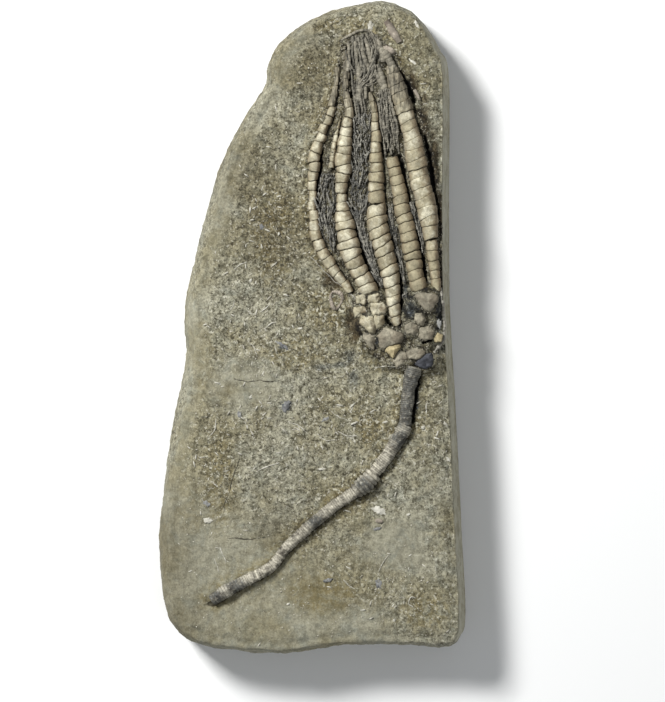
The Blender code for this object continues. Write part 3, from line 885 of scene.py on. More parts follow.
def make_seam_dirt_and_shade_group():
    """Brown sediment held in seams, and painted shade where the seam value spreads wide over a plate,
    with an uneven edge, as a mask.
    """
    given, result = new_tree(
        "Seam dirt", "ShaderNodeTree", {"Vector": "Vector"}, {"Seam": 0.0, "Width": 0.35},
        {"Mask": "Float"},
    )
    uneven = add(given["Seam"], swing(mottle(given["Vector"], 0.9, 4.0, 0.7), 0.9))
    over = less(uneven, less(1.0, given["Width"]))
    feed(result["Mask"], calc("DIVIDE", over, given["Width"], clamp=True))


def grain_on(spots, scale, coarse):
    """Rock grain on the coordinates."""
    return use_group("Stone grain", spots, Grain_Scale=scale, Coarse=coarse)


def specks_on(spots, scale, amount):
    """A mask of specks on the coordinates."""
    return use_group("Mineral specks", spots, Speck_Scale=scale, Amount=amount)


# ---------------------------------------------------------------- materials
def new_material(name):
    """A material with its tree and the Object coordinates."""
    made = bpy.data.materials.new(name)
    made.use_nodes = True
    tree = made.node_tree
    tree.nodes["Principled BSDF"].inputs["Specular IOR Level"].default_value = 0.35
    return made, tree, tree.nodes.new("ShaderNodeTexCoord").outputs["Object"]


def finish_surface(tree, colour, roughness, height, strength, distance):
    """Feeds the shader its colour, its roughness and its bumps."""
    bump = put(tree, "ShaderNodeBump", Strength=strength, Distance=distance * MM, Height=height)
    sockets = tree.nodes["Principled BSDF"].inputs
    feed(sockets["Base Color"], colour)
    feed(sockets["Roughness"], roughness)
    feed(sockets["Normal"], bump.outputs["Normal"])


def siltstone_material(colours):
    """Olive siltstone: grains, warm stain, smooth worn parts, pale and dark specks, painted shade in the
    hollows.
    """
    made, tree, spots = new_material("siltstone")
    grain = grain_on(spots, 2500.0, 0.4)
    broad = mottle(spots, 15.0, 4.0, 0.6, 0.3)
    middle = mottle(spots, 3.2, 6.0, 0.7, 0.6)
    clumps = mottle(spots, 1.3, 4.0, 0.65, 0.3)
    scrapes = drawn_out(spots, 0.9, 0.16, 0.5, 0.8)
    uneven = ramp(mottle(spots, 1.8, 6.0, 0.75, 0.4), 0.40, 0.60)
    smooth = painted(tree, "smooth")
    stain = painted(tree, "stain")

    tone = ramp(grain, 0.40, 0.60)
    grains = add(
        times(ramp(clumps, 0.40, 0.60), 0.22), times(tone, 0.6),
        times(ramp(scrapes, 0.35, 0.65), 0.18),
    )
    calm = times(smooth, 0.62)
    grains = add(times(grains, less(1.0, calm)), times(calm, 0.52))
    body = mix(grains, colours.rock_dark, colours.rock_light)
    body = tinted(body, ramp(broad, 0.42, 0.62, 0.0, 0.8), colours.rock_warm)
    body = tinted(body, ramp(middle, 0.46, 0.64, 0.0, 0.9), colours.rock_pale)
    body = tinted(body, times(ramp(stain, 0.1, 0.9), add(uneven, 0.2)), colours.rock_stain)

    crisp = times(stain, less(1.0, smooth))
    pale = specks_on(spots, 1300.0, add(0.40, times(crisp, 0.05)))
    body = mix(times(pale, ramp(smooth, 0.0, 1.0, 0.75, 0.2)), body, colours.rock_speck)
    for far, scale in ((0.37, 1150.0), (0.81, 1900.0)):
        dark = specks_on(moved(spots, far), scale, add(0.42, times(crisp, 0.03)))
        body = mix(times(dark, ramp(smooth, 0.0, 1.0, 0.85, 0.2)), body, (0.040, 0.034, 0.018))
    shelly = times(painted(tree, "shelly"), 0.75)
    body = mix(hair_lines(spots, 0.21, shelly), body, colours.rock_speck)
    body = mix(hair_lines(spots, 0.64, 0.6), body, (0.075, 0.062, 0.036))

    body = tinted(body, painted(tree, "dim"), (0.68, 0.66, 0.62))
    for label, ragged, low, high, tint in ROCK_PATCHES:
        here = add(painted(tree, label), times(uneven, ragged))
        body = tinted(body, ramp(here, low, high), tint)
    sawn = times(painted(tree, "sawn"), ramp(middle, 0.36, 0.62, 0.08, 0.62))
    body = mix(sawn, body, (0.44, 0.42, 0.33))
    # Painted shade: the rock darkens to near black in the crevices, beside the arms and between the
    # cup's plates.
    deep = add(painted(tree, "painted_shade"), swing(uneven, 0.4))
    body = tinted(body, ramp(deep, 0.15, 0.8), (0.16, 0.15, 0.13))
    body = mix(ramp(deep, 0.78, 1.1), body, (0.006, 0.005, 0.004))

    height = add(
        times(grain, ramp(smooth, 0.0, 1.0, 1.0, 0.4)), times(scrapes, 0.5),
        times(clumps, ramp(smooth, 0.0, 1.0, 1.0, 0.3)),
    )
    finish_surface(tree, body, ramp(tone, 0.0, 1.0, 0.95, 0.8), height, 1.0, 0.26)
    return made


def calcite_material(name, light, shade, flank_shade_and_stain_colour, seam_colour, fade_colour, seam_width=0.5):
    """Plates of calcite: light crowns, flanks darkened with painted shade and brown stain, strongest on
    the right, brown sediment in the seams, painted shade towards the cup plates' rims, grey faded tips.
    """
    made, tree, spots = new_material(name)
    grain = grain_on(spots, 2400.0, 0.6)
    patches = mottle(spots, 1.3, 6.0, 0.7, 0.5)
    blotches = mottle(moved(spots, 0.53), 3.0, 4.0, 0.6, 0.4)
    flank = painted(tree, "flank")
    body = mix(ramp(add(patches, times(painted(tree, "tone"), -0.10)), 0.34, 0.70), light, shade)
    body = mix(ramp(blotches, 0.46, 0.64, 0.0, 0.75), body, shade)
    # Painted shade with some brown stain: a little on the left flank, strong on the right flank, away
    # from the key light.
    body = mix(ramp(times(flank, -1.0), 0.55, 1.0, 0.0, 0.6), body, flank_shade_and_stain_colour)
    body = mix(ramp(add(flank, swing(patches, 1.2)), 0.0, 0.85, 0.0, 0.9), body, flank_shade_and_stain_colour)
    fade = add(painted(tree, "fade"), swing(blotches, 1.2))
    body = mix(ramp(fade, 0.15, 1.0, 0.0, 0.85), body, fade_colour)
    body = shaded(body, ramp(grain, 0.36, 0.64, 0.62, 1.18))
    streaks = ramp(drawn_out(spots, 0.5, 0.12), 0.38, 0.60, 0.35, 1.12)
    body = mix(ramp(fade, 0.2, 0.9), body, shaded(body, streaks))
    seam = times(painted(tree, "seam"), less(1.0, ramp(fade, 0.3, 1.0, 0.0, 0.75)))
    # Brown sediment in the seams, and painted shade where the seam value spreads towards the rims of the
    # cup's plates.
    seam_dirt_and_shade = use_group("Seam dirt", spots, Seam=seam, Width=seam_width)
    body = mix(times(seam_dirt_and_shade, 0.93), body, seam_colour)
    body = mix(times(specks_on(spots, 1300.0, 0.34), 0.55), body, flank_shade_and_stain_colour)
    height = add(less(grain, times(seam_dirt_and_shade, 0.5)), times(patches, 0.8))
    finish_surface(tree, body, ramp(grain, 0.3, 0.7, 0.88, 0.70), height, 0.6, 0.13)
    return made


def strand_material(name, dark, light, seam_colour, patch=0.6, low_shade=0.0, speckle=0.1):
    """Fine ribbed pieces, each disc or ossicle with its own tone, with painted shade low down among
    them.
    """
    made, tree, spots = new_material(name)
    grain = grain_on(spots, 3000.0, 0.6)
    speck = ramp(grain, 0.40, 0.60)
    broad = mottle(spots, 4.0, 5.0, 0.65, 0.3)
    blend = add(
        times(ramp(painted(tree, "tone"), -1.0, 1.0), 0.35), times(speck, 0.45),
        times(ramp(broad, 0.36, 0.64), 0.45),
    )
    body = mix(less(blend, 0.1, clamp=True), dark, light)
    body = mix(ramp(broad, 0.50, 0.62, 0.0, patch), body, dark)
    ragged = add(swing(mottle(spots, 0.8, 4.0, 0.65, 0.3), 2.2), 1.0)
    dusk = add(times(painted(tree, "dusk"), ragged), times(broad, 0.4), times(speck, 0.45))
    body = tinted(body, ramp(dusk, 0.45, 1.4), (0.20, 0.215, 0.24))
    body = mix(times(specks_on(spots, 1700.0, 0.43), 1.4 * speckle), body, seam_colour)
    body = mix(times(specks_on(moved(spots, 0.4), 1500.0, 0.44), 1.2 * speckle), body, light)
    body = shaded(body, ramp(grain, 0.36, 0.64, 1.0 - speckle, 1.0 + speckle))
    body = mix(times(ramp(painted(tree, "seam"), 0.3, 1.0), 0.75), body, seam_colour)
    # Painted shade: the strands darken towards the rock's face, down among one another.
    level = put(tree, "ShaderNodeSeparateXYZ", Vector=spots).outputs["Z"]
    painted_low_shade = ramp(level, (FACE + 0.3) * MM, (FACE + 1.3) * MM, low_shade, 0.0)
    body = mix(painted_low_shade, body, (0.012, 0.011, 0.009))
    finish_surface(tree, body, ramp(speck, 0.0, 1.0, 0.85, 0.62), grain, 0.5, 0.1)
    return made


def strands(name):
    """The strand material of a named finish."""
    return strand_material(name, *STRAND_FINISHES[name])


# ---------------------------------------------------------------- geometry nodes
CHIP_TILT = 0.35  # how far a chip leans out of the rock's face, in radians
FLAT_ENOUGH = 0.8  # how far the surface's normal points up where chips lie


def finish_tree(source, result, material):
    """Ends a tree in real geometry with its material."""
    tree = source.id_data
    smooth = put(tree, "GeometryNodeSetShadeSmooth", Geometry=source)
    real = put(tree, "GeometryNodeRealizeInstances", Geometry=smooth.outputs["Geometry"])
    dressed = put(tree, "GeometryNodeSetMaterial", Geometry=real.outputs["Geometry"], Material=material)
    feed(result["Geometry"], dressed.outputs["Geometry"])


def chance(low, high, seed, **own):
    """A random number for each element, or for each of its own IDs."""
    made = put(seed.id_data, "FunctionNodeRandomValue", {"data_type": "FLOAT"}, Seed=seed, **own)
    feed(typed(made.inputs, "VALUE", "Min"), low)
    feed(typed(made.inputs, "VALUE", "Max"), high)
    return typed(made.outputs, "VALUE")


def stored(source, domain, label, value):
    """The geometry with a number stored on its elements."""
    settings = {"data_type": "FLOAT", "domain": domain}
    made = put(
        source.id_data, "GeometryNodeStoreNamedAttribute", settings, Geometry=source, Name=label
    )
    feed(typed(made.inputs, "VALUE", "Value"), value)
    return made.outputs["Geometry"]


def make_strand_tree():
    """Ribbed tubes along curves: the discs of a stem, or the little ossicles of a pinnule."""
    given, result = new_tree(
        "Ribbed strand", "GeometryNodeTree", {"Geometry": "Geometry", "Material": "Material"},
        {
            "Disc Thickness": 0.0005, "Groove Depth": 0.12, "Unevenness": 0.05, "Strand Tone": 0.0,
            "Rings": 6.0, "Sides": 24, "Seed": 1,
        },
        {"Geometry": "Geometry"},
    )
    tree = given["Geometry"].id_data
    step = calc("DIVIDE", given["Disc Thickness"], given["Rings"])
    line = put(
        tree, "GeometryNodeResampleCurve", {"mode": "LENGTH"}, Curve=given["Geometry"], Length=step
    )
    travelled = put(tree, "GeometryNodeSplineParameter").outputs["Length"]
    discs = calc("DIVIDE", travelled, given["Disc Thickness"])
    edge = calc("ABSOLUTE", less(times(calc("FRACT", discs), 2.0), 1.0))
    seam = calc("POWER", edge, 3.0)
    strand = put(
        tree, "GeometryNodeFieldOnDomain", {"domain": "CURVE", "data_type": "INT"},
        Value=put(tree, "GeometryNodeInputIndex").outputs[0],
    ).outputs[0]
    disc_random = chance(-1.0, 1.0, given["Seed"], ID=add(calc("FLOOR", discs), times(strand, 137.0)))
    strand_random = chance(-1.0, 1.0, given["Seed"], ID=strand)
    share = given["Strand Tone"]
    tone = add(times(disc_random, less(1.0, share)), times(strand_random, share))
    groove = less(1.0, times(seam, given["Groove Depth"]))
    girth = times(groove, add(1.0, times(disc_random, given["Unevenness"])))
    radius = times(put(tree, "GeometryNodeInputRadius").outputs[0], girth)
    sized = put(tree, "GeometryNodeSetCurveRadius", Curve=line.outputs["Curve"], Radius=radius)
    toned = stored(sized.outputs["Curve"], "POINT", "tone", tone)
    profile = put(tree, "GeometryNodeCurvePrimitiveCircle", Resolution=given["Sides"], Radius=1.0)
    tube = put(
        tree, "GeometryNodeCurveToMesh", Curve=stored(toned, "POINT", "seam", seam),
        Profile_Curve=profile.outputs["Curve"], Scale=put(tree, "GeometryNodeInputRadius").outputs[0],
        Fill_Caps=True,
    )
    finish_tree(tube.outputs["Mesh"], result, given["Material"])


def make_chip_tree():
    """Small shell chips strewn over a surface, lying flat in it."""
    given, result = new_tree(
        "Shell chips", "GeometryNodeTree", {"Geometry": "Geometry", "Material": "Material"},
        {
            "Density": 20000.0, "Mask": "grit", "Width": 0.6, "Smallest": 0.0001, "Largest": 0.0005,
            "Flatness": 0.35, "Seed": 1,
        },
        {"Geometry": "Geometry"},
    )
    tree = given["Geometry"].id_data
    normal = put(tree, "GeometryNodeInputNormal").outputs[0]
    level = put(tree, "FunctionNodeCompare", {"data_type": "FLOAT", "operation": "GREATER_THAN"})
    feed(level.inputs[0], put(tree, "ShaderNodeSeparateXYZ", Vector=normal).outputs["Z"])
    feed(level.inputs[1], FLAT_ENOUGH)
    mask = put(tree, "GeometryNodeInputNamedAttribute", {"data_type": "FLOAT"}, Name=given["Mask"])
    dots = put(
        tree, "GeometryNodeDistributePointsOnFaces", Mesh=given["Geometry"], Seed=given["Seed"],
        Density=times(given["Density"], mask.outputs[0]), Selection=level.outputs[0],
    )
    chip = put(tree, "GeometryNodeMeshIcoSphere", Subdivisions=1, Radius=1.0)
    squash = put(tree, "ShaderNodeCombineXYZ", X=1.0, Y=given["Width"], Z=given["Flatness"])
    flattened = put(
        tree, "GeometryNodeTransform", Geometry=chip.outputs["Mesh"], Scale=squash.outputs[0]
    )
    spin = put(tree, "FunctionNodeRandomValue", {"data_type": "FLOAT_VECTOR"})
    feed(typed(spin.inputs, "VECTOR", "Min"), (-CHIP_TILT, -CHIP_TILT, 0.0))
    feed(typed(spin.inputs, "VECTOR", "Max"), (CHIP_TILT, CHIP_TILT, FULL_TURN))
    strewn = put(
        tree, "GeometryNodeInstanceOnPoints", Points=dots.outputs["Points"],
        Instance=flattened.outputs["Geometry"], Rotation=typed(spin.outputs, "VECTOR"),
        Scale=chance(given["Smallest"], given["Largest"], given["Seed"]),
    )
    tone = chance(-1.0, 1.0, add(given["Seed"], 1.0))
    toned = stored(strewn.outputs["Instances"], "INSTANCE", "tone", tone)
    finish_tree(toned, result, given["Material"])


def run_tree(thing, name, **values):
    """Runs a tree on an object, with its inputs set by their identifiers."""
    tree = bpy.data.node_groups[name]
    modifier = thing.modifiers.new(name, "NODES")
    modifier.node_group = tree
    for item in tree.interface.items_tree:
        label = item.name.replace(" ", "_")
        if item.item_type == "SOCKET" and item.in_out == "INPUT" and label in values:
            modifier[item.identifier] = values[label]


def make_tubes(name, lines, material, wear=None, **sizes):
    """Ribbed tubes along lines, which are rows of x, y, z and radius in millimetres."""
    data = bpy.data.curves.new(name, "CURVE")
    data.dimensions = "3D"
    for line in lines:
        spline = data.splines.new("POLY")
        spline.points.add(len(line) - 1)
        for point, (x, y, z, radius) in zip(spline.points, line):
            point.co = (x * MM, y * MM, z * MM, 1.0)
            point.radius = radius * MM
    curve = link_object(name, data)
    run_tree(curve, "Ribbed strand", Material=material, **sizes)
    data = evaluated_mesh(curve, name)
    if wear:
        roughen(data, *wear)
    turn_outwards(data)
    return data


def swaying(line, size, octaves, shift):
    """The x, y, width and sway of each point of a line."""
    return zip(*line.T, fractal(at_level(line[:, :2]), size, octaves, shift))


# ---------------------------------------------------------------- the slab
SPOT_FIELD = (35.0, 73.0)  # half the field of spots that the face is cut from
FACE_INSET = 0.012  # share by which the spots keep clear of the rim
FINE_MARGIN = 0.8  # how far round its routes the fossil's detail is kept
FINE_CUP = 1.1  # the same round the cup, as a share of the cup's reach


def slab_loops(step):
    """Loops of the slab's side, from its foot to the edge of its face."""
    loop, normals = even_loop(SLAB_OUTLINE, step)
    heights, *insets = np.array(SLAB_RINGS).T
    loops = []
    for height in np.linspace(0.0, FACE, int(FACE / step) + 1):
        right, left, top, bottom = (np.interp(height, heights, inset) for inset in insets)
        sideways = np.where(normals[:, 0] > 0, right, left)
        endways = np.where(normals[:, 1] > 0, top, bottom)
        inset = sideways * normals[:, 0] ** 2 + endways * normals[:, 1] ** 2
        loops.append(at_level(loop - normals * inset[:, None], height))
    return loops


def face_spots(edge, sizes):
    """Scattered spots that cover the face: close together round the fossil, wider elsewhere."""
    dice = np.random.default_rng(12)
    wide, tall = SPOT_FIELD
    kept = []
    for step, wants_fossil in ((sizes.fossil_detail / MM, True), (sizes.rock_detail / MM, False)):
        xs, ys = np.meshgrid(np.arange(-wide, wide, step), np.arange(-tall, tall, step))
        spots = np.stack([xs.ravel(), ys.ravel()], axis=1)
        spots += dice.uniform(-0.3, 0.3, spots.shape) * step
        nearest = np.full(len(spots), FAR)
        for route in [*ARMS.values(), *STEM.values(), *PINNULES.values(), *CREVICES]:
            nearest = np.minimum(nearest, nearest_on_route(spots, route)[0])
        near_fossil = (nearest < FINE_MARGIN) | (from_cup(spots) < FINE_CUP)
        spots = spots[near_fossil == wants_fossil]
        kept.append(spots[inside_loop(spots, edge)])
    return np.vstack(kept)


def from_cup(spots):
    """How far each spot lies from the cup's middle, 1 on the edge of its mound."""
    return np.linalg.norm((spots - CUP_MIDDLE) / CUP_REACH, axis=-1)


def on_cup(spots):
    """1 on the mound of the crushed cup, fading to 0 round it."""
    return smooth_step(-from_cup(spots), -1.12, -0.80)


def plate_bed(spots):
    """How high the rock is packed between the cup's plates."""
    bed = np.zeros(len(spots))
    for thickness, corners in CUP_PLATES.values():
        middle = np.mean(corners, axis=0)
        reach = np.abs(np.array(corners) - middle).max(axis=0) + 0.9
        away = np.linalg.norm((spots - middle) / reach, axis=1)
        bed = np.maximum(bed, (thickness - 0.35) * smooth_step(-away, -1.5, -0.8))
    return bed


def trenches(spots, routes, depths, reach, shades):
    """How near the routes' edges lie, the trench beside them, and the painted shade beside them, darker
    on the right.
    """
    near = np.full(len(spots), FAR)
    trench = np.zeros(len(spots))
    shade = np.zeros(len(spots))
    for route in routes:
        edge, side = nearest_on_route(spots, route)
        near = np.minimum(near, edge)
        trench = np.maximum(trench, np.where(side < 0, *depths) * np.exp(-((edge / reach) ** 2)))
        shade = np.maximum(shade, np.where(side < 0, *shades) * smooth_step(-edge, -0.6, 0.1))
    return near, trench, shade


def crown_relief(spots):
    """Rise of the rock's face round the fossil, with its stain, painted shade and crown masks."""
    flat = at_level(spots)
    arms = trenches(spots, ARMS.values(), (0.25, 0.8), 0.55, (0.30, 0.85))
    stem = trenches(spots, STEM.values(), (0.1, 0.45), 0.6, (0.25, 0.8))
    near_crown, near_stem = arms[0], stem[0]
    trench, shade = (np.maximum(*pair) for pair in zip(arms[1:], stem[1:]))
    for route in PINNULES.values():
        near_crown = np.minimum(near_crown, nearest_on_route(spots, route)[0])
    near = np.minimum(near_crown, near_stem)
    within = inside_loop(spots, np.array(CROWN_EDGE)).astype(float)
    reach = from_cup(spots)
    cup = on_cup(spots)

    bed = np.maximum(smooth_step(-near_crown, -2.6, -0.2), within)
    rise = BED_RISE * bed + 0.35 * smooth_step(-near_stem, -1.6, 0.0)
    rise += 0.20 * fractal(flat, 1.2, 4, 2.0) * np.maximum(within, cup)
    rise += (CUP_RISE - BED_RISE) * cup
    rise -= trench * (1.0 - 0.6 * cup)
    packed = plate_bed(spots)
    rise = np.maximum(rise, packed + 0.15 * fractal(flat, 0.8, 4, 4.0))
    # Painted shade, with the crown's dark bed: beside the arms and stem, over the crown and the cup,
    # between the cup's plates and in the cut crevices.
    painted_shade = np.maximum(np.maximum(shade, 0.50 * within), 0.30 * cup)
    painted_shade = np.maximum(painted_shade, 0.62 * smooth_step(packed, 1.0, 1.9))
    ragged = 0.35 * fractal(flat, 1.0, 3, 11.0)
    for route in CREVICES:
        edge = nearest_on_route(spots, route)[0] + ragged
        deep = smooth_step(-edge, -0.35, 0.3)
        rise = rise * (1.0 - deep) - CREVICE_DEPTH * deep
        painted_shade = np.maximum(painted_shade, smooth_step(-edge, -0.45, 0.15))
    stain = np.exp(-np.clip(near, 0.0, None) / 2.4)
    stain = np.maximum(stain, 0.9 * np.exp(-np.clip(reach - 1.0, 0.0, None) * 3.5))
    crown = ((near < 0.3) | (within > 0.5) | (reach < 1.0)).astype(float)
    crumbs = np.maximum(within, cup) * (near > -0.5).astype(float) * (painted_shade < 0.8)
    return rise, painted_shade, stain, crown, crumbs


def slab_mesh(sizes):
    """The bare slab, its points, its rim and where the points of its face begin."""
    loops = slab_loops(sizes.side_detail / MM)
    around = len(loops[0])
    rim = loops[-1][:, :2]
    spots = face_spots(rim + (rim.mean(axis=0) - rim) * FACE_INSET, sizes)
    ground = [Vector(spot) for spot in np.vstack([rim, spots]).tolist()]
    result = geometry.delaunay_2d_cdt(ground, [], [list(range(around))], 1, 1e-6)
    first = (len(loops) - 1) * around
    own = [first + sources[0] for sources in result[3]]
    faces = [tuple(own[k] for k in face) for face in result[2]]
    for start in range(0, first, around):
        for k in range(around):
            follow = (k + 1) % around
            faces.append((start + k, start + follow, start + around + follow, start + around + k))
    faces.append(tuple(range(around)))
    points = np.vstack([*loops, at_level(spots, FACE)])
    data = bpy.data.meshes.new("slab")
    data.from_pydata((points * MM).tolist(), [], faces)
    turn_outwards(data)
    return data, points, rim, first


def distance_to_rim(points, rim):
    """How far each point lies from the rim, seen from above."""
    finder = KDTree(len(rim))
    for k, place in enumerate(rim.tolist()):
        finder.insert((*place, 0.0), k)
    finder.balance()
    return np.array([finder.find((x, y, 0.0))[2] for x, y, z in points.tolist()])


def make_slab(sizes, material):
    """The slab: its sides as loops, and its face as triangles that are smaller round the fossil."""
    data, points, rim, first = slab_mesh(sizes)
    around = len(rim)
    normals = read_rows(data, "normal")
    spots = points[:, :2].copy()
    to_rim = distance_to_rim(points, rim)
    top = np.zeros(len(points))
    top[first:] = 1.0
    side = 1.0 - top
    side[first : first + around] = 0.5
    sawn = side * smooth_step(normals[:, 0], 0.6, 0.9)
    broad = fractal(points, 17.0, 3)
    hills = fractal(points, 5.0, 3, 3.0)
    rough = fractal(points, 1.7, 5, 5.0)
    pitted = fractal(points, 0.8, 3, 8.0)
    low_left = smooth_step(-(points[:, 0] * 0.75 + points[:, 1]), 44.0, 66.0)
    left_band = smooth_step(-to_rim, -3.5, -0.5) * (points[:, 0] < 0)
    smooth = np.maximum(np.maximum(low_left, sawn), 0.7 * left_band)
    smooth = np.maximum(smooth, blobs(spots, SMOOTH_SPOTS)) + 0.35 * broad
    smooth += 0.30 * smooth_step(-points[:, 1], 20.0, 50.0)
    smooth = np.clip(smooth, 0.0, 1.0)

    rise, painted_shade, stain, crown, crumbs = crown_relief(spots)
    coarse = 1.0 - 0.7 * smooth
    lift = 0.34 * broad + 0.30 * hills + (0.30 * rough + 0.10 * pitted) * coarse + rise
    lift -= 0.75 * np.exp(-((to_rim / 1.3) ** 2))
    out = (0.35 * broad + 0.25 * hills + 0.22 * rough) * (1.0 - 0.85 * sawn) * side
    points += normals * (out * (1.0 - top))[:, None]
    points[:, 2] += lift * top
    points[:, 2] = np.maximum(points[:, 2], 0.0)
    points[:around, 2] = 0.0
    move_points(data, points)

    spots = points[:, :2]
    patches = smooth_step(fractal(points, 9.0, 4, 9.0), -0.05, 0.45)
    wide_stain = np.maximum(0.45 * patches, blobs(spots, STAIN_SPOTS))
    ground = top * (1.0 - crown) * (to_rim > 0.8)
    shelly = blobs(spots, HASH_SPOTS)
    blue = blobs(spots, BLUE_SPOTS) * top
    masks = {
        "stain": np.clip(np.maximum(stain, wide_stain) * top, 0.0, 1.0),
        "smooth": smooth,
        "painted_shade": painted_shade * top,
        "grit": np.maximum(shelly, 0.35) * ground,
        "shelly": np.maximum(shelly, 0.06) * ground,
        "crumbs": crumbs * top * (1.0 - smooth_step(blue, 0.3, 0.6)),
        "blue": blue,
        "dark": blobs(spots, SHADED_AND_DARK_SPOTS) * top,
        "dim": blobs(spots, DIM_SPOTS),
        "haze": blobs(spots, HAZE_SPOTS) * top,
        "sawn": sawn,
    }
    for label, values in masks.items():
        paint(data, label, values)
    return link_piece("matrix_rock", dress(data, material), "siltstone", "matrix_slab")


def make_chips(slab, name, material, **values):
    """Shell chips strewn over the rock where a mask allows them."""
    source = link_object("chip ground", slab.data.copy())
    run_tree(source, "Shell chips", Material=material, **values)
    return link_piece(name, evaluated_mesh(source, name), "shell")


# ---------------------------------------------------------------- arms
TOP_POINTS = 25
FOOT_POINTS = 6
FOOT_DIP = 0.28  # how far the section's upper part runs on below its widest place
PLATE_ROWS = (0.0, 0.025, 0.07, 0.14, 0.24, 0.37, 0.5, 0.63, 0.76, 0.86, 0.93, 0.975, 1.0)
PLATE_LIP = 0.999  # nearer to its seam than this, a plate has its rounded lip


class Seam:
    """Where two plates of an arm meet: its middle, the arm's frame there, and the seam's wave."""

    def __init__(self, route, y, slant, dice, broken):
        x, width = route_at(route, y)
        above, below = route_at(route, y + 0.6)[0], route_at(route, y - 0.6)[0]
        along = np.array((below - above, -1.2, 0.0))
        self.along = along / np.linalg.norm(along)
        across = np.array((-self.along[1], self.along[0], 0.0))
        self.across = across - self.along * slant
        self.middle = np.array((x, y, 0.0))
        self.width = width
        self.bow = dice.uniform(-0.03, 0.05)
        self.phase = dice.uniform(0.0, FULL_TURN)
        self.wave = 0.040 if broken else 0.019
        self.strength = dice.uniform(0.35, 1.0)

    def shifts(self, across):
        """How far the seam strays along the arm at each place across it."""
        ripple = np.sin(across * 3.3 + self.phase) + 0.6 * np.sin(across * 7.1 + 2.0 * self.phase)
        return self.width * (self.wave * ripple + self.bow * (1.0 - across**2))


def route_at(route, y):
    """The route's x and width where it crosses y."""
    rows = np.array(route)[::-1]
    return np.interp(y, rows[:, 1], rows[:, 0]), np.interp(y, rows[:, 1], rows[:, 2])


def joint_heights(node, dice):
    """The y of each seam of an arm, near even lengths along its route, with both ends."""
    rows = np.array(ARMS[node])
    along = lengths_along(rows)
    plate = BRANCH_PLATE if node == "arm_left_branch" else ARM_PLATE
    count = round(along[-1] / plate)
    heights = np.interp(np.linspace(0.0, along[-1], count + 1), along, rows[:, 1])
    heights[1:-1] += [dice.uniform(-SEAM_STRAY, SEAM_STRAY) for _ in heights[1:-1]]
    above, below = ARM_MEET.get(node, (0.0, 0.0))
    heights[0] += above
    heights[-1] -= below
    return heights


def section_angles():
    """Angles round an arm's section, close together over its top and few under its foot."""
    top = np.linspace(-FOOT_DIP, math.pi + FOOT_DIP, TOP_POINTS)
    foot = np.linspace(math.pi + FOOT_DIP, 2.0 * math.pi - FOOT_DIP, FOOT_POINTS + 2)[1:-1]
    return np.concatenate([top, foot])


def worn_tip(points):
    """How far an arm's surface is worn into long ridges near its tip."""
    stretched = points * (1.0, 0.15, 1.0)
    return smooth_step(points[:, 1], *ARM_FADE) * fractal(stretched, 0.55, 3, 13.0) * 0.32


def plate_rings(first, last, girth, depth, gap, aside, shift):
    """Rings of one arm plate between two seams, with its seam and flank values."""
    around = section_angles()
    across = np.cos(around)
    height = np.sin(around)
    rings = []
    seams = []
    for t in PLATE_ROWS:
        near = abs(2.0 * t - 1.0)
        lip = near > PLATE_LIP
        bite = depth * (first.strength if t < 0.5 else last.strength)
        width = (first.width * (1.0 - t) + last.width * t) * girth
        side_cut = bite * (0.13 * near**5 + 0.04 * lip)
        crown_cut = bite * (0.05 * near**6 + 0.05 * lip)
        half = width / 2 * (1.05 - 0.05 * depth * near**2 - side_cut)
        crown = ARM_RISE * width * (0.99 - 0.045 * depth * near**2 - crown_cut)
        middle = first.middle * (1.0 - t) + last.middle * t + first.across * aside
        sideways = first.across * (1.0 - t) + last.across * t
        stray = first.shifts(across) * (1.0 - t) ** 2 + last.shifts(across) * t**2
        stray += gap / 2 * (1.0 - 2.0 * t)
        ring = middle + sideways * (across * half)[:, None] + first.along * stray[:, None]
        waist = 0.3 * width
        above = height * (crown - waist)
        ring[:, 2] = FACE + waist + np.where(height > 0, above, height * (waist + ARM_SINK))
        rings.append(ring)
        seams.append(np.full(len(around), near**7 * bite))
    rings = np.array(rings)
    flat = rings.reshape(-1, 3)
    wear = fractal(flat, 1.3, 3, shift) * 0.10 + fractal(flat, 0.4, 3, shift) * 0.045
    wear += worn_tip(flat)
    outward = np.column_stack([across, np.zeros_like(across), height])
    outward = np.tile(outward, (len(PLATE_ROWS), 1))
    return (flat + outward * wear[:, None]).reshape(rings.shape), np.array(seams), across


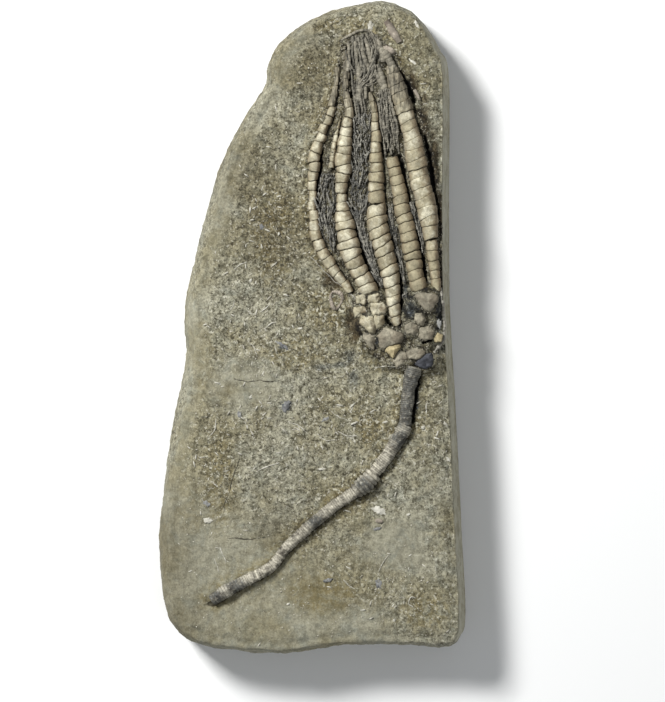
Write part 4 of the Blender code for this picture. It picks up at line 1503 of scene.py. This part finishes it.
def make_arm(node, sizes, material):
    """One arm as a chain of plates that share their seams, each with its own tone and girth."""
    dice = random.Random(node)
    heights = joint_heights(node, dice)
    wide_height, wide_gap = WIDE_SEAMS.get(node, (0.0, 0.0))
    wide = int(np.argmin(np.abs(heights - wide_height))) if wide_gap else 0
    zigzag = 0.04 + 0.3 * ARM_STRAY.get(node, 0.0)
    seams = []
    for i, y in enumerate(heights):
        slant = ARM_SLANT.get(node, 0.03) + zigzag * (-1) ** i + dice.uniform(-0.06, 0.06)
        seams.append(Seam(ARMS[node], y, slant, dice, i in (0, len(heights) - 1)))
    for seam, share in zip(seams, ARM_NARROWS.get(node, ())):
        seam.width *= share
    shape = Shape()
    for i, (first, last) in enumerate(zip(seams, seams[1:])):
        gap = wide_gap if wide and i == wide else sizes.seam_gap / MM
        girth = 1.0 + dice.uniform(-0.06, 0.06)
        aside = dice.uniform(-1.0, 1.0) * ARM_STRAY.get(node, 0.06)
        depth = ARM_SEAM_DEPTH.get(node, 1.0)
        rings, seam, flank = plate_rings(first, last, girth, depth, gap, aside, float(i))
        rings[:, :, 2] += ARM_LIFT * on_cup(rings[:, :, :2])
        fade = smooth_step(rings[:, :, 1], *ARM_FADE)
        tone = dice.uniform(-1.0, 1.0) - ARM_TONE.get(node, 0.0)
        shape.add_rings(rings, seam=seam, flank=flank, fade=fade, tone=tone)
    piece = node + "_plates"
    return link_piece(piece, shape.mesh(piece, material), "arm_calcite", node)


# ---------------------------------------------------------------- cup plates
# Rings of a cup plate from its foot to its crown: share of its outline, share of its height.
CROWN_ROWS = (
    (1.02, -0.5), (1.0, 0.40), (0.99, 0.60), (0.965, 0.71), (0.92, 0.80), (0.85, 0.87), (0.74, 0.92),
    (0.58, 0.96), (0.40, 0.985), (0.22, 1.0), (0.06, 1.0),
)
CUP_SPREAD = 0.5  # how far a plate spreads past its corners
CUP_LIFT = 0.45  # how far its crown stands over its thickness
CUP_EXTRA = {"basal_plate_yellow": 0.6, "basal_plate_left": 0.3, "basal_plate_dark": 0.2}
# The plates of other finishes than the cup's own, by the starts of their names.
CUP_FINISHES = {
    "dark calcite": ("basal_plate_dark",),
    "yellow calcite": ("basal_plate_yellow", "crust_lump"),
    "arm calcite": ("arm_base_left", "arm_base_outer", "fork_plate_left", "sliver"),
}


def rounded_loop(corners, spread):
    """The corners pushed out by spread, with rounded corners and points along every side."""
    count = len(corners)
    middle = sum((Vector(corner) for corner in corners), Vector((0.0, 0.0))) / count
    pushed = [Vector(corner) + (Vector(corner) - middle).normalized() * spread for corner in corners]
    loop = []
    for i, here in enumerate(pushed):
        before = pushed[i - 1]
        after = pushed[(i + 1) % count]
        loop += [here.lerp(before, t).lerp(middle, 0.01) for t in (0.12, 0.05)]
        loop.append(here.lerp(middle, 0.03))
        for t in (0.05, 0.12, 0.24, 0.36, 0.5, 0.64, 0.76):
            loop.append(here.lerp(after, t).lerp(middle, 0.01 if t < 0.2 else 0.0))
    return np.array([tuple(place) for place in loop])


def make_cup_plate(node, material, slot):
    """A worn plate with a nearly flat crown, tilted a little its own way."""
    thickness, corners = CUP_PLATES[node]
    height = thickness + CUP_LIFT + CUP_EXTRA.get(node, 0.0)
    dice = random.Random(node)
    loop = rounded_loop(corners, CUP_SPREAD)
    middle = loop.mean(axis=0)
    tilt = (dice.uniform(-0.14, 0.14), dice.uniform(-0.14, 0.14))
    rings = []
    seams = []
    for share, lift in CROWN_ROWS:
        spots = middle + (loop - middle) * share
        lean = ((spots - middle) * tilt).sum(axis=1) * (lift > 0)
        rings.append(np.column_stack([spots, FACE + height * lift + lean]))
        # The seam value darkens each plate towards its rim: dark joint sediment at the rim and painted
        # shade on the ring within it.
        seam = 1.0 if share > 0.99 else max(0.0, (share - 0.75) / 0.25) ** 3
        seams.append(np.full(len(loop), seam))
    rings = np.array(rings)
    flat = rings.reshape(-1, 3)
    flat[:, 2] += fractal(flat, 1.2, 5, 2.0) * 0.30
    aside = [fractal(flat, 0.9, 4, shift) for shift in (7.0, 17.0)]
    flat[:, :2] += np.stack(aside, axis=1) * 0.22
    # Painted shade on each plate's sides through its flank value, strongest on the right.
    flank = np.broadcast_to((loop[:, 0] - middle[0]) / 3.0, rings.shape[:2])
    shape = Shape()
    tone = dice.uniform(-0.9, 0.4)
    shape.add_rings(rings, seam=np.array(seams), flank=flank, tone=tone, fade=0.0)
    piece = node + "_crowned"
    return link_piece(piece, shape.mesh(piece, material), slot, node)


# ---------------------------------------------------------------- stem
STEM_STEP = 0.35
# How the discs are cut, in the collar and in the rest of the stem.
COLLAR_CUT = {"Groove_Depth": 0.17, "Unevenness": 0.05, "Rings": 10.0}
STEM_CUT = {"Groove_Depth": 0.055, "Unevenness": 0.03, "Rings": 6.0}


def make_stem(node, material):
    """A length of stem as ribbed discs along its route."""
    line = sample_route(STEM[node], STEM_STEP)
    before, after = STEM_REACH[node]
    first = line[0] + (line[0] - line[1]) / STEM_STEP * before
    last = line[-1] + (line[-1] - line[-2]) / STEM_STEP * after
    rows = [
        (x + 0.16 * s, y, FACE + 0.20 * width + 0.12 * s, width / 2 * (1.0 + 0.09 * s))
        for x, y, width, s in swaying(np.vstack([first, line, last]), 5.0, 2, 4.0)
    ]
    data = make_tubes(
        node + "_discs", [rows], material, (0.9, 0.16), Disc_Thickness=STEM_DISC[node] * MM,
        Sides=36, Seed=3, **(COLLAR_CUT if node == "stem_collar" else STEM_CUT),
    )
    paint(data, "dusk", blobs(read_rows(data, "co")[:, :2] / MM, DUSKY_STEM))
    return link_piece(node + "_discs", data, "stem_calcite", node)


# ---------------------------------------------------------------- pinnules
MAT_STEP = 0.45
SOFT_MATS = ("pinnules_tips", "pinnules_right")


def mat_line(node):
    """The route of a mat in even steps, run on past both of its ends, and its direction."""
    line = sample_route(PINNULES[node], MAT_STEP)
    above, below = (int(reach / MAT_STEP) for reach in PINNULE_REACH.get(node, (0.9, 0.9)))
    first = [line[0] + (line[0] - line[1]) * k for k in range(above, 0, -1)]
    last = [line[-1] + (line[-1] - line[-2]) * k for k in range(1, below + 1)]
    line = np.array([*first, *line, *last])
    line[:, 2] = np.clip(line[:, 2], 0.5, None)
    along = -np.gradient(line[:, :2], axis=0)
    return line, along / np.linalg.norm(along, axis=1, keepdims=True)


def pinnule_lines(node):
    """Strands that run up through a mat, at several heights, drifting a little sideways."""
    dice = random.Random(node)
    line, along = mat_line(node)
    strands = []
    for _ in range(PINNULE_COUNT[node]):
        start = dice.randrange(len(line))
        reach = int(dice.uniform(*PINNULE_RUN.get(node, (4, 12))))
        place = dice.uniform(-0.56, 0.56)
        drift = dice.uniform(-1.0, 1.0) * PINNULE_DRIFT.get(node, 0.60)
        low = FACE + dice.uniform(0.25, 1.15) - 0.5 * abs(place)
        broad = dice.random() < PINNULE_BROAD.get(node, 0.2)
        radius = dice.uniform(0.17, 0.32) if broad else dice.uniform(0.06, 0.16)
        wave = dice.uniform(0.0, FULL_TURN)
        rows = []
        for k in range(min(reach, start + 1)):
            x, y, width = line[start - k]
            along_x, along_y = along[start - k]
            sway = width * (place + drift * k / reach) + 0.07 * math.sin(0.5 * k + wave)
            arch = 0.4 * math.sin(math.pi * k / reach)
            taper = radius * (1.0 - 0.55 * k / reach)
            rows.append((x - along_y * sway, y + along_x * sway, low + arch, taper))
        if len(rows) > 2:
            strands.append(rows)
    return strands


def make_pinnules(node, material):
    """A mat of pinnules."""
    data = make_tubes(
        node + "_strands", pinnule_lines(node), material, (0.5, 0.17), Disc_Thickness=0.42 * MM,
        Groove_Depth=0.25, Unevenness=0.2, Strand_Tone=0.75, Rings=3.0, Sides=6, Seed=5,
    )
    return link_piece(node + "_strands", data, "pinnule_calcite", node)


def make_tips(material):
    """The worn upper ends of the arms, which gather under the rim of the crown."""
    strands = [
        [
            (x + 0.16 * s, y, FACE + 0.75 + 0.25 * s, width / 2 * (1.0 + 0.2 * s))
            for x, y, width, s in swaying(sample_route(route, 0.4), 2.5, 3, 6.0)
        ]
        for route in TIP_STRANDS
    ]
    data = make_tubes(
        "arm_tips_worn", strands, material, (0.8, 0.10), Disc_Thickness=0.9 * MM, Groove_Depth=0.10,
        Unevenness=0.07, Rings=5.0, Sides=14, Seed=8,
    )
    return link_piece("arm_tips_worn", data, "arm_calcite")


# ---------------------------------------------------------------- shell bits
OVER_SLAB = 0.05  # a height in metres from which the rock's face is looked for
RING_STEPS = 40
SPOT_POINTS = 28
# Rings of a flat shell bit: share of its outline, height over the rock.
SPOT_ROWS = ((0.9, -0.6), (1.0, 0.0), (0.93, 0.10), (0.75, 0.16), (0.45, 0.2), (0.12, 0.2))


def ground_finder():
    """A function that gives the height of the rock's face at a place."""
    data = bpy.data.objects["matrix_rock"].data
    tree = BVHTree.FromPolygons([v.co for v in data.vertices], [p.vertices for p in data.polygons])

    def ground(x, y):
        place = tree.ray_cast(Vector((x * MM, y * MM, OVER_SLAB)), Vector((0.0, 0.0, -1.0)))[0]
        return place.z / MM if place else FACE

    return ground


def make_shell_lump(node, material, ground):
    """A worn lump of shell, sunk in the rock."""
    centre, half_sizes, turn = SHELL_LUMPS[node]
    level = ground(*centre)
    cos, sin = math.cos(turn), math.sin(turn)
    mesh = bmesh.new()
    bmesh.ops.create_icosphere(mesh, subdivisions=4, radius=1.0)
    for vert in mesh.verts:
        vert.co *= 1.0 + 0.16 * noise.fractal(vert.co * 1.8, 1.0, 2.0, 4)
        x, y, z = (vert.co[k] * half_sizes[k] for k in range(3))
        place = Vector((x, y, z + level + half_sizes[2] * 0.3))
        place = Vector((place.x * cos - place.y * sin, place.x * sin + place.y * cos, place.z))
        vert.co = (place + Vector((*centre, 0.0))) * MM
    data = bpy.data.meshes.new(node)
    mesh.to_mesh(data)
    mesh.free()
    return link_piece(node + "_worn", dress(data, material), "shell", node)


def make_shell_ridge(material, ground):
    """A smooth curved ridge of shell."""
    line = sample_route(SHELL_RIDGE, 0.3)
    rows = [(x, y, ground(x, y), 0.65 * width) for x, y, width in line]
    data = make_tubes(
        "shell_ridge_worn", [rows], material, (0.9, 0.22), Disc_Thickness=20.0 * MM, Groove_Depth=0.0,
        Unevenness=0.0, Rings=70.0, Sides=16, Seed=9,
    )
    return link_piece("shell_ridge_worn", data, "shell", "shell_ridge")


def make_shell_ring(material, ground):
    """The rim of a round shell, bent a little out of round."""
    rows = []
    for k in range(RING_STEPS + 1):
        turn = 2.0 * math.pi * k / RING_STEPS
        bend = 1.0 + 0.12 * math.sin(3.0 * turn + 0.6)
        x = SHELL_RING_CENTRE[0] + SHELL_RING_SIZE[0] * bend * math.cos(turn)
        y = SHELL_RING_CENTRE[1] + SHELL_RING_SIZE[1] * bend * math.sin(turn)
        rows.append((x, y, ground(x, y), 0.36 + 0.12 * math.sin(2.0 * turn)))
    data = make_tubes(
        "shell_ring_rim", [rows], material, Disc_Thickness=0.5 * MM, Groove_Depth=0.05,
        Unevenness=0.15, Rings=4.0, Sides=10, Seed=11,
    )
    return link_piece("shell_ring_rim", data, "shell", "shell_ring")


def make_threads(name, slot, material, routes, ground, height):
    """Thin threads that lie in the rock: cracks, ridges and shell edges."""
    lines = [
        [
            (x + 0.22 * s, y + 0.22 * s, ground(x, y) + height, width / 2 * (1.0 + 0.5 * s))
            for x, y, width, s in swaying(sample_route(route, 0.35), 1.4, 3, 6.0)
        ]
        for route in routes
    ]
    data = make_tubes(
        name, lines, material, (0.6, 0.06), Disc_Thickness=0.8 * MM, Groove_Depth=0.12,
        Unevenness=0.2, Rings=3.0, Sides=8, Seed=4,
    )
    return link_piece(name, data, slot)


def make_spots(name, material, places, ground):
    """Flat worn shell bits lying flush in the rock."""
    around = np.linspace(0.0, 2.0 * math.pi, SPOT_POINTS, endpoint=False)
    shape = Shape()
    for x, y, half_long, half_wide, turn in places:
        lobes = 1.0 + 0.2 * np.sin(2.0 * around + x) + 0.15 * np.sin(5.0 * around + y)
        lobes = lobes + 0.12 * np.sin(9.0 * around + x * y)
        flat = np.column_stack([half_long * lobes * np.cos(around), half_wide * lobes * np.sin(around)])
        cos, sin = math.cos(turn), math.sin(turn)
        turned = flat @ np.array([[cos, sin], [-sin, cos]])
        level = ground(x, y) - 0.02
        rings = np.array([at_level(turned * share + (x, y), level + lift) for share, lift in SPOT_ROWS])
        points = rings.reshape(-1, 3)
        points[:, 2] += 0.22 * fractal(points, 0.7, 4, 1.0)
        shape.add_rings(rings, tone=math.sin(x * 7.0))
    return link_piece(name, shape.mesh(name, material), "shell")


# ---------------------------------------------------------------- the add-on
def length(name, description, default, smallest, largest):
    """A length that a user can change."""
    return bpy.props.FloatProperty(
        name=name, description=description, default=default, min=smallest, max=largest, unit="LENGTH"
    )


def colour(name, description, *default):
    """A colour that a user can change."""
    return bpy.props.FloatVectorProperty(
        name=name, description=description, default=default, subtype="COLOR"
    )


class FossilSizes(bpy.types.PropertyGroup):
    """How fine the fossil's meshes are, and the gap of its seams"""

    rock_detail: length(
        "Rock Detail", "Spacing of the points that carry the slab's relief", 0.00042, 0.0003, 0.002
    )
    fossil_detail: length(
        "Fossil Detail", "Spacing of the slab's points round the fossil", 0.00023, 0.0002, 0.002
    )
    side_detail: length(
        "Side Detail", "Spacing of the points on the slab's sides", 0.00055, 0.0003, 0.002
    )
    seam_gap: length("Seam Gap", "Gap between two plates of an arm", 0.00006, 0.0, 0.0004)


class FossilColours(bpy.types.PropertyGroup):
    """The colours of the rock and of the arms"""

    rock_dark: colour("Rock Dark", "Dark grains of the siltstone", 0.040, 0.035, 0.018)
    rock_light: colour("Rock Light", "Light grains of the siltstone", 0.440, 0.420, 0.310)
    rock_speck: colour("Rock Speck", "Pale specks in the siltstone", 0.520, 0.500, 0.400)
    rock_warm: colour("Warm Tint", "Tint of the siltstone's warm patches", 0.780, 0.730, 0.600)
    rock_pale: colour("Pale Tint", "Tint of the siltstone's pale patches", 0.860, 0.900, 0.960)
    rock_stain: colour("Stain Tint", "Tint of the stain round the fossil", 0.750, 0.680, 0.510)
    arm_light: colour("Arm Light", "Clean calcite of the arms", 0.552, 0.518, 0.388)
    arm_shade: colour("Arm Shade", "Stained calcite of the arms", 0.300, 0.264, 0.170)


class CRINOID_OT_slab(bpy.types.Operator):
    """Make the slab of siltstone and the shell chips strewn in it"""

    bl_idname = "crinoid.slab"
    bl_label = "Slab"

    def execute(self, context):
        slab = make_slab(context.scene.fossil_sizes, siltstone_material(context.scene.fossil_colours))
        make_chips(
            slab, "shell_grains", strands("chip calcite"), Density=600000.0, Mask="grit",
            Smallest=0.06 * MM, Largest=0.26 * MM, Width=0.7, Flatness=0.5, Seed=21,
        )
        make_chips(
            slab, "shell_slivers", strands("sliver calcite"), Density=170000.0, Mask="shelly",
            Smallest=0.12 * MM, Largest=0.95 * MM, Width=0.22, Flatness=0.14, Seed=33,
        )
        make_chips(
            slab, "crown_crumbs", strands("crumb calcite"), Density=4000000.0, Mask="crumbs",
            Smallest=0.08 * MM, Largest=0.30 * MM, Width=0.7, Flatness=0.6, Seed=45,
        )
        return {"FINISHED"}


class CRINOID_OT_arms(bpy.types.Operator):
    """Make the arms as chains of plates"""

    bl_idname = "crinoid.arms"
    bl_label = "Arms"

    def execute(self, context):
        colours = context.scene.fossil_colours
        calcite = calcite_material(
            "arm calcite", tuple(colours.arm_light), tuple(colours.arm_shade), (0.165, 0.122, 0.070),
            (0.080, 0.058, 0.031), (0.200, 0.175, 0.125), 0.8,
        )
        for node in ARMS:
            make_arm(node, context.scene.fossil_sizes, calcite)
        return {"FINISHED"}


class CRINOID_OT_cup(bpy.types.Operator):
    """Make the plates of the crushed cup"""

    bl_idname = "crinoid.cup"
    bl_label = "Cup"

    def execute(self, context):
        for name in ("cup calcite", "dark calcite", "yellow calcite"):
            calcite_material(name, *CALCITE_FINISHES[name])
        for node in CUP_PLATES:
            finish = "cup calcite"
            for other, starts in CUP_FINISHES.items():
                if node.startswith(starts):
                    finish = other
            slot = "dark_calcite" if finish == "dark calcite" else "cup_calcite"
            make_cup_plate(node, bpy.data.materials[finish], slot)
        return {"FINISHED"}


class CRINOID_OT_stem(bpy.types.Operator):
    """Make the stem as ribbed discs, in its broken lengths"""

    bl_idname = "crinoid.stem"
    bl_label = "Stem"

    def execute(self, context):
        calcite = strands("stem calcite")
        for node in STEM:
            make_stem(node, calcite)
        return {"FINISHED"}


class CRINOID_OT_pinnules(bpy.types.Operator):
    """Make the mats of pinnules between the arms"""

    bl_idname = "crinoid.pinnules"
    bl_label = "Pinnules"

    def execute(self, context):
        calcite = strands("pinnule calcite")
        soft = strands("soft pinnule calcite")
        for node in PINNULES:
            make_pinnules(node, soft if node in SOFT_MATS else calcite)
        make_tips(strands("tip calcite"))
        return {"FINISHED"}


class CRINOID_OT_shells(bpy.types.Operator):
    """Make the broken shell bits that lie in the rock"""

    bl_idname = "crinoid.shells"
    bl_label = "Shell Bits"

    def execute(self, context):
        shell = calcite_material("shell", *CALCITE_FINISHES["shell"])
        pale = strands("pale shell")
        ground = ground_finder()
        for node in SHELL_LUMPS:
            make_shell_lump(node, shell, ground)
        make_shell_ridge(shell, ground)
        make_shell_ring(shell, ground)
        make_spots("pale_shell_spots", pale, PALE_SPOTS, ground)
        make_spots("grey_shell_spots", strands("grey shell"), GREY_SPOTS, ground)
        make_threads("rock_cracks", "siltstone", strands("crack shadow"), CRACKS, ground, 0.02)
        make_threads("shell_edges", "shell", pale, SHELL_EDGES, ground, 0.03)
        make_threads("cup_ridges", "cup_calcite", strands("ridge calcite"), CUP_RIDGES, ground, 0.12)
        return {"FINISHED"}


def add_area_light(name, place, size, power):
    """A square lamp that looks at the slab."""
    lamp = bpy.data.lights.new(name, "AREA")
    lamp.size = size
    lamp.energy = power
    made = link_object(name, lamp)
    made.location = place
    made.rotation_euler = (-Vector(place)).to_track_quat("-Z", "Y").to_euler()


class CRINOID_OT_stage(bpy.types.Operator):
    """Make the pale floor, the soft lights and the camera over the slab"""

    bl_idname = "crinoid.stage"
    bl_label = "Stage"

    def execute(self, context):
        scene = context.scene
        bpy.ops.mesh.primitive_plane_add(size=3.0)
        floor = context.object
        floor.name = "floor"
        paper = bpy.data.materials.new("paper")
        paper.use_nodes = True
        surface = paper.node_tree.nodes["Principled BSDF"].inputs
        surface["Base Color"].default_value = (0.8, 0.8, 0.79, 1.0)
        surface["Roughness"].default_value = 0.9
        floor.data.materials.append(paper)

        scene.world = bpy.data.worlds.new("studio")
        scene.world.use_nodes = True
        sky = scene.world.node_tree.nodes["Background"].inputs
        sky["Color"].default_value = (0.9, 0.95, 1.0, 1.0)
        sky["Strength"].default_value = 0.26
        add_area_light("key", (-0.36, 0.34, 0.50), 0.16, 7.6)
        add_area_light("fill", (0.45, -0.30, 0.6), 0.5, 1.2)

        camera = bpy.data.cameras.new("camera")
        camera.sensor_width = SENSOR
        camera.lens = SENSOR * CAMERA_HEIGHT / FIELD_HEIGHT
        camera.clip_start = 0.01
        camera.clip_end = 10.0
        scene.camera = link_object("camera", camera)
        scene.camera.location = (*(aim * MM for aim in CAMERA_AIM), (FACE + CAMERA_HEIGHT) * MM)
        scene.view_settings.view_transform = "Standard"
        return {"FINISHED"}


class CRINOID_PT_panel(bpy.types.Panel):
    """The fossil's pieces, in the order they are made"""

    bl_idname = "CRINOID_PT_panel"
    bl_label = "Crinoid Fossil"
    bl_space_type = "VIEW_3D"
    bl_region_type = "UI"
    bl_category = "Crinoid"

    def draw(self, context):
        column = self.layout.column()
        for group in (context.scene.fossil_sizes, context.scene.fossil_colours):
            for name in group.__annotations__:
                column.prop(group, name)
        for operator in OPERATORS:
            column.operator(operator.bl_idname)


OPERATORS = (
    CRINOID_OT_slab, CRINOID_OT_arms, CRINOID_OT_cup, CRINOID_OT_stem, CRINOID_OT_pinnules,
    CRINOID_OT_shells, CRINOID_OT_stage,
)
CLASSES = (FossilSizes, FossilColours, *OPERATORS, CRINOID_PT_panel)


def register():
    for item in CLASSES:
        bpy.utils.register_class(item)
    bpy.types.Scene.fossil_sizes = bpy.props.PointerProperty(type=FossilSizes)
    bpy.types.Scene.fossil_colours = bpy.props.PointerProperty(type=FossilColours)


def unregister():
    del bpy.types.Scene.fossil_colours
    del bpy.types.Scene.fossil_sizes
    for item in reversed(CLASSES):
        bpy.utils.unregister_class(item)


def main():
    register()
    make_grain_group()
    make_speck_group()
    make_seam_dirt_and_shade_group()
    make_strand_tree()
    make_chip_tree()
    bpy.ops.crinoid.slab()
    bpy.ops.crinoid.arms()
    bpy.ops.crinoid.cup()
    bpy.ops.crinoid.stem()
    bpy.ops.crinoid.pinnules()
    bpy.ops.crinoid.shells()
    bpy.ops.crinoid.stage()


if __name__ == "__main__":
    main()
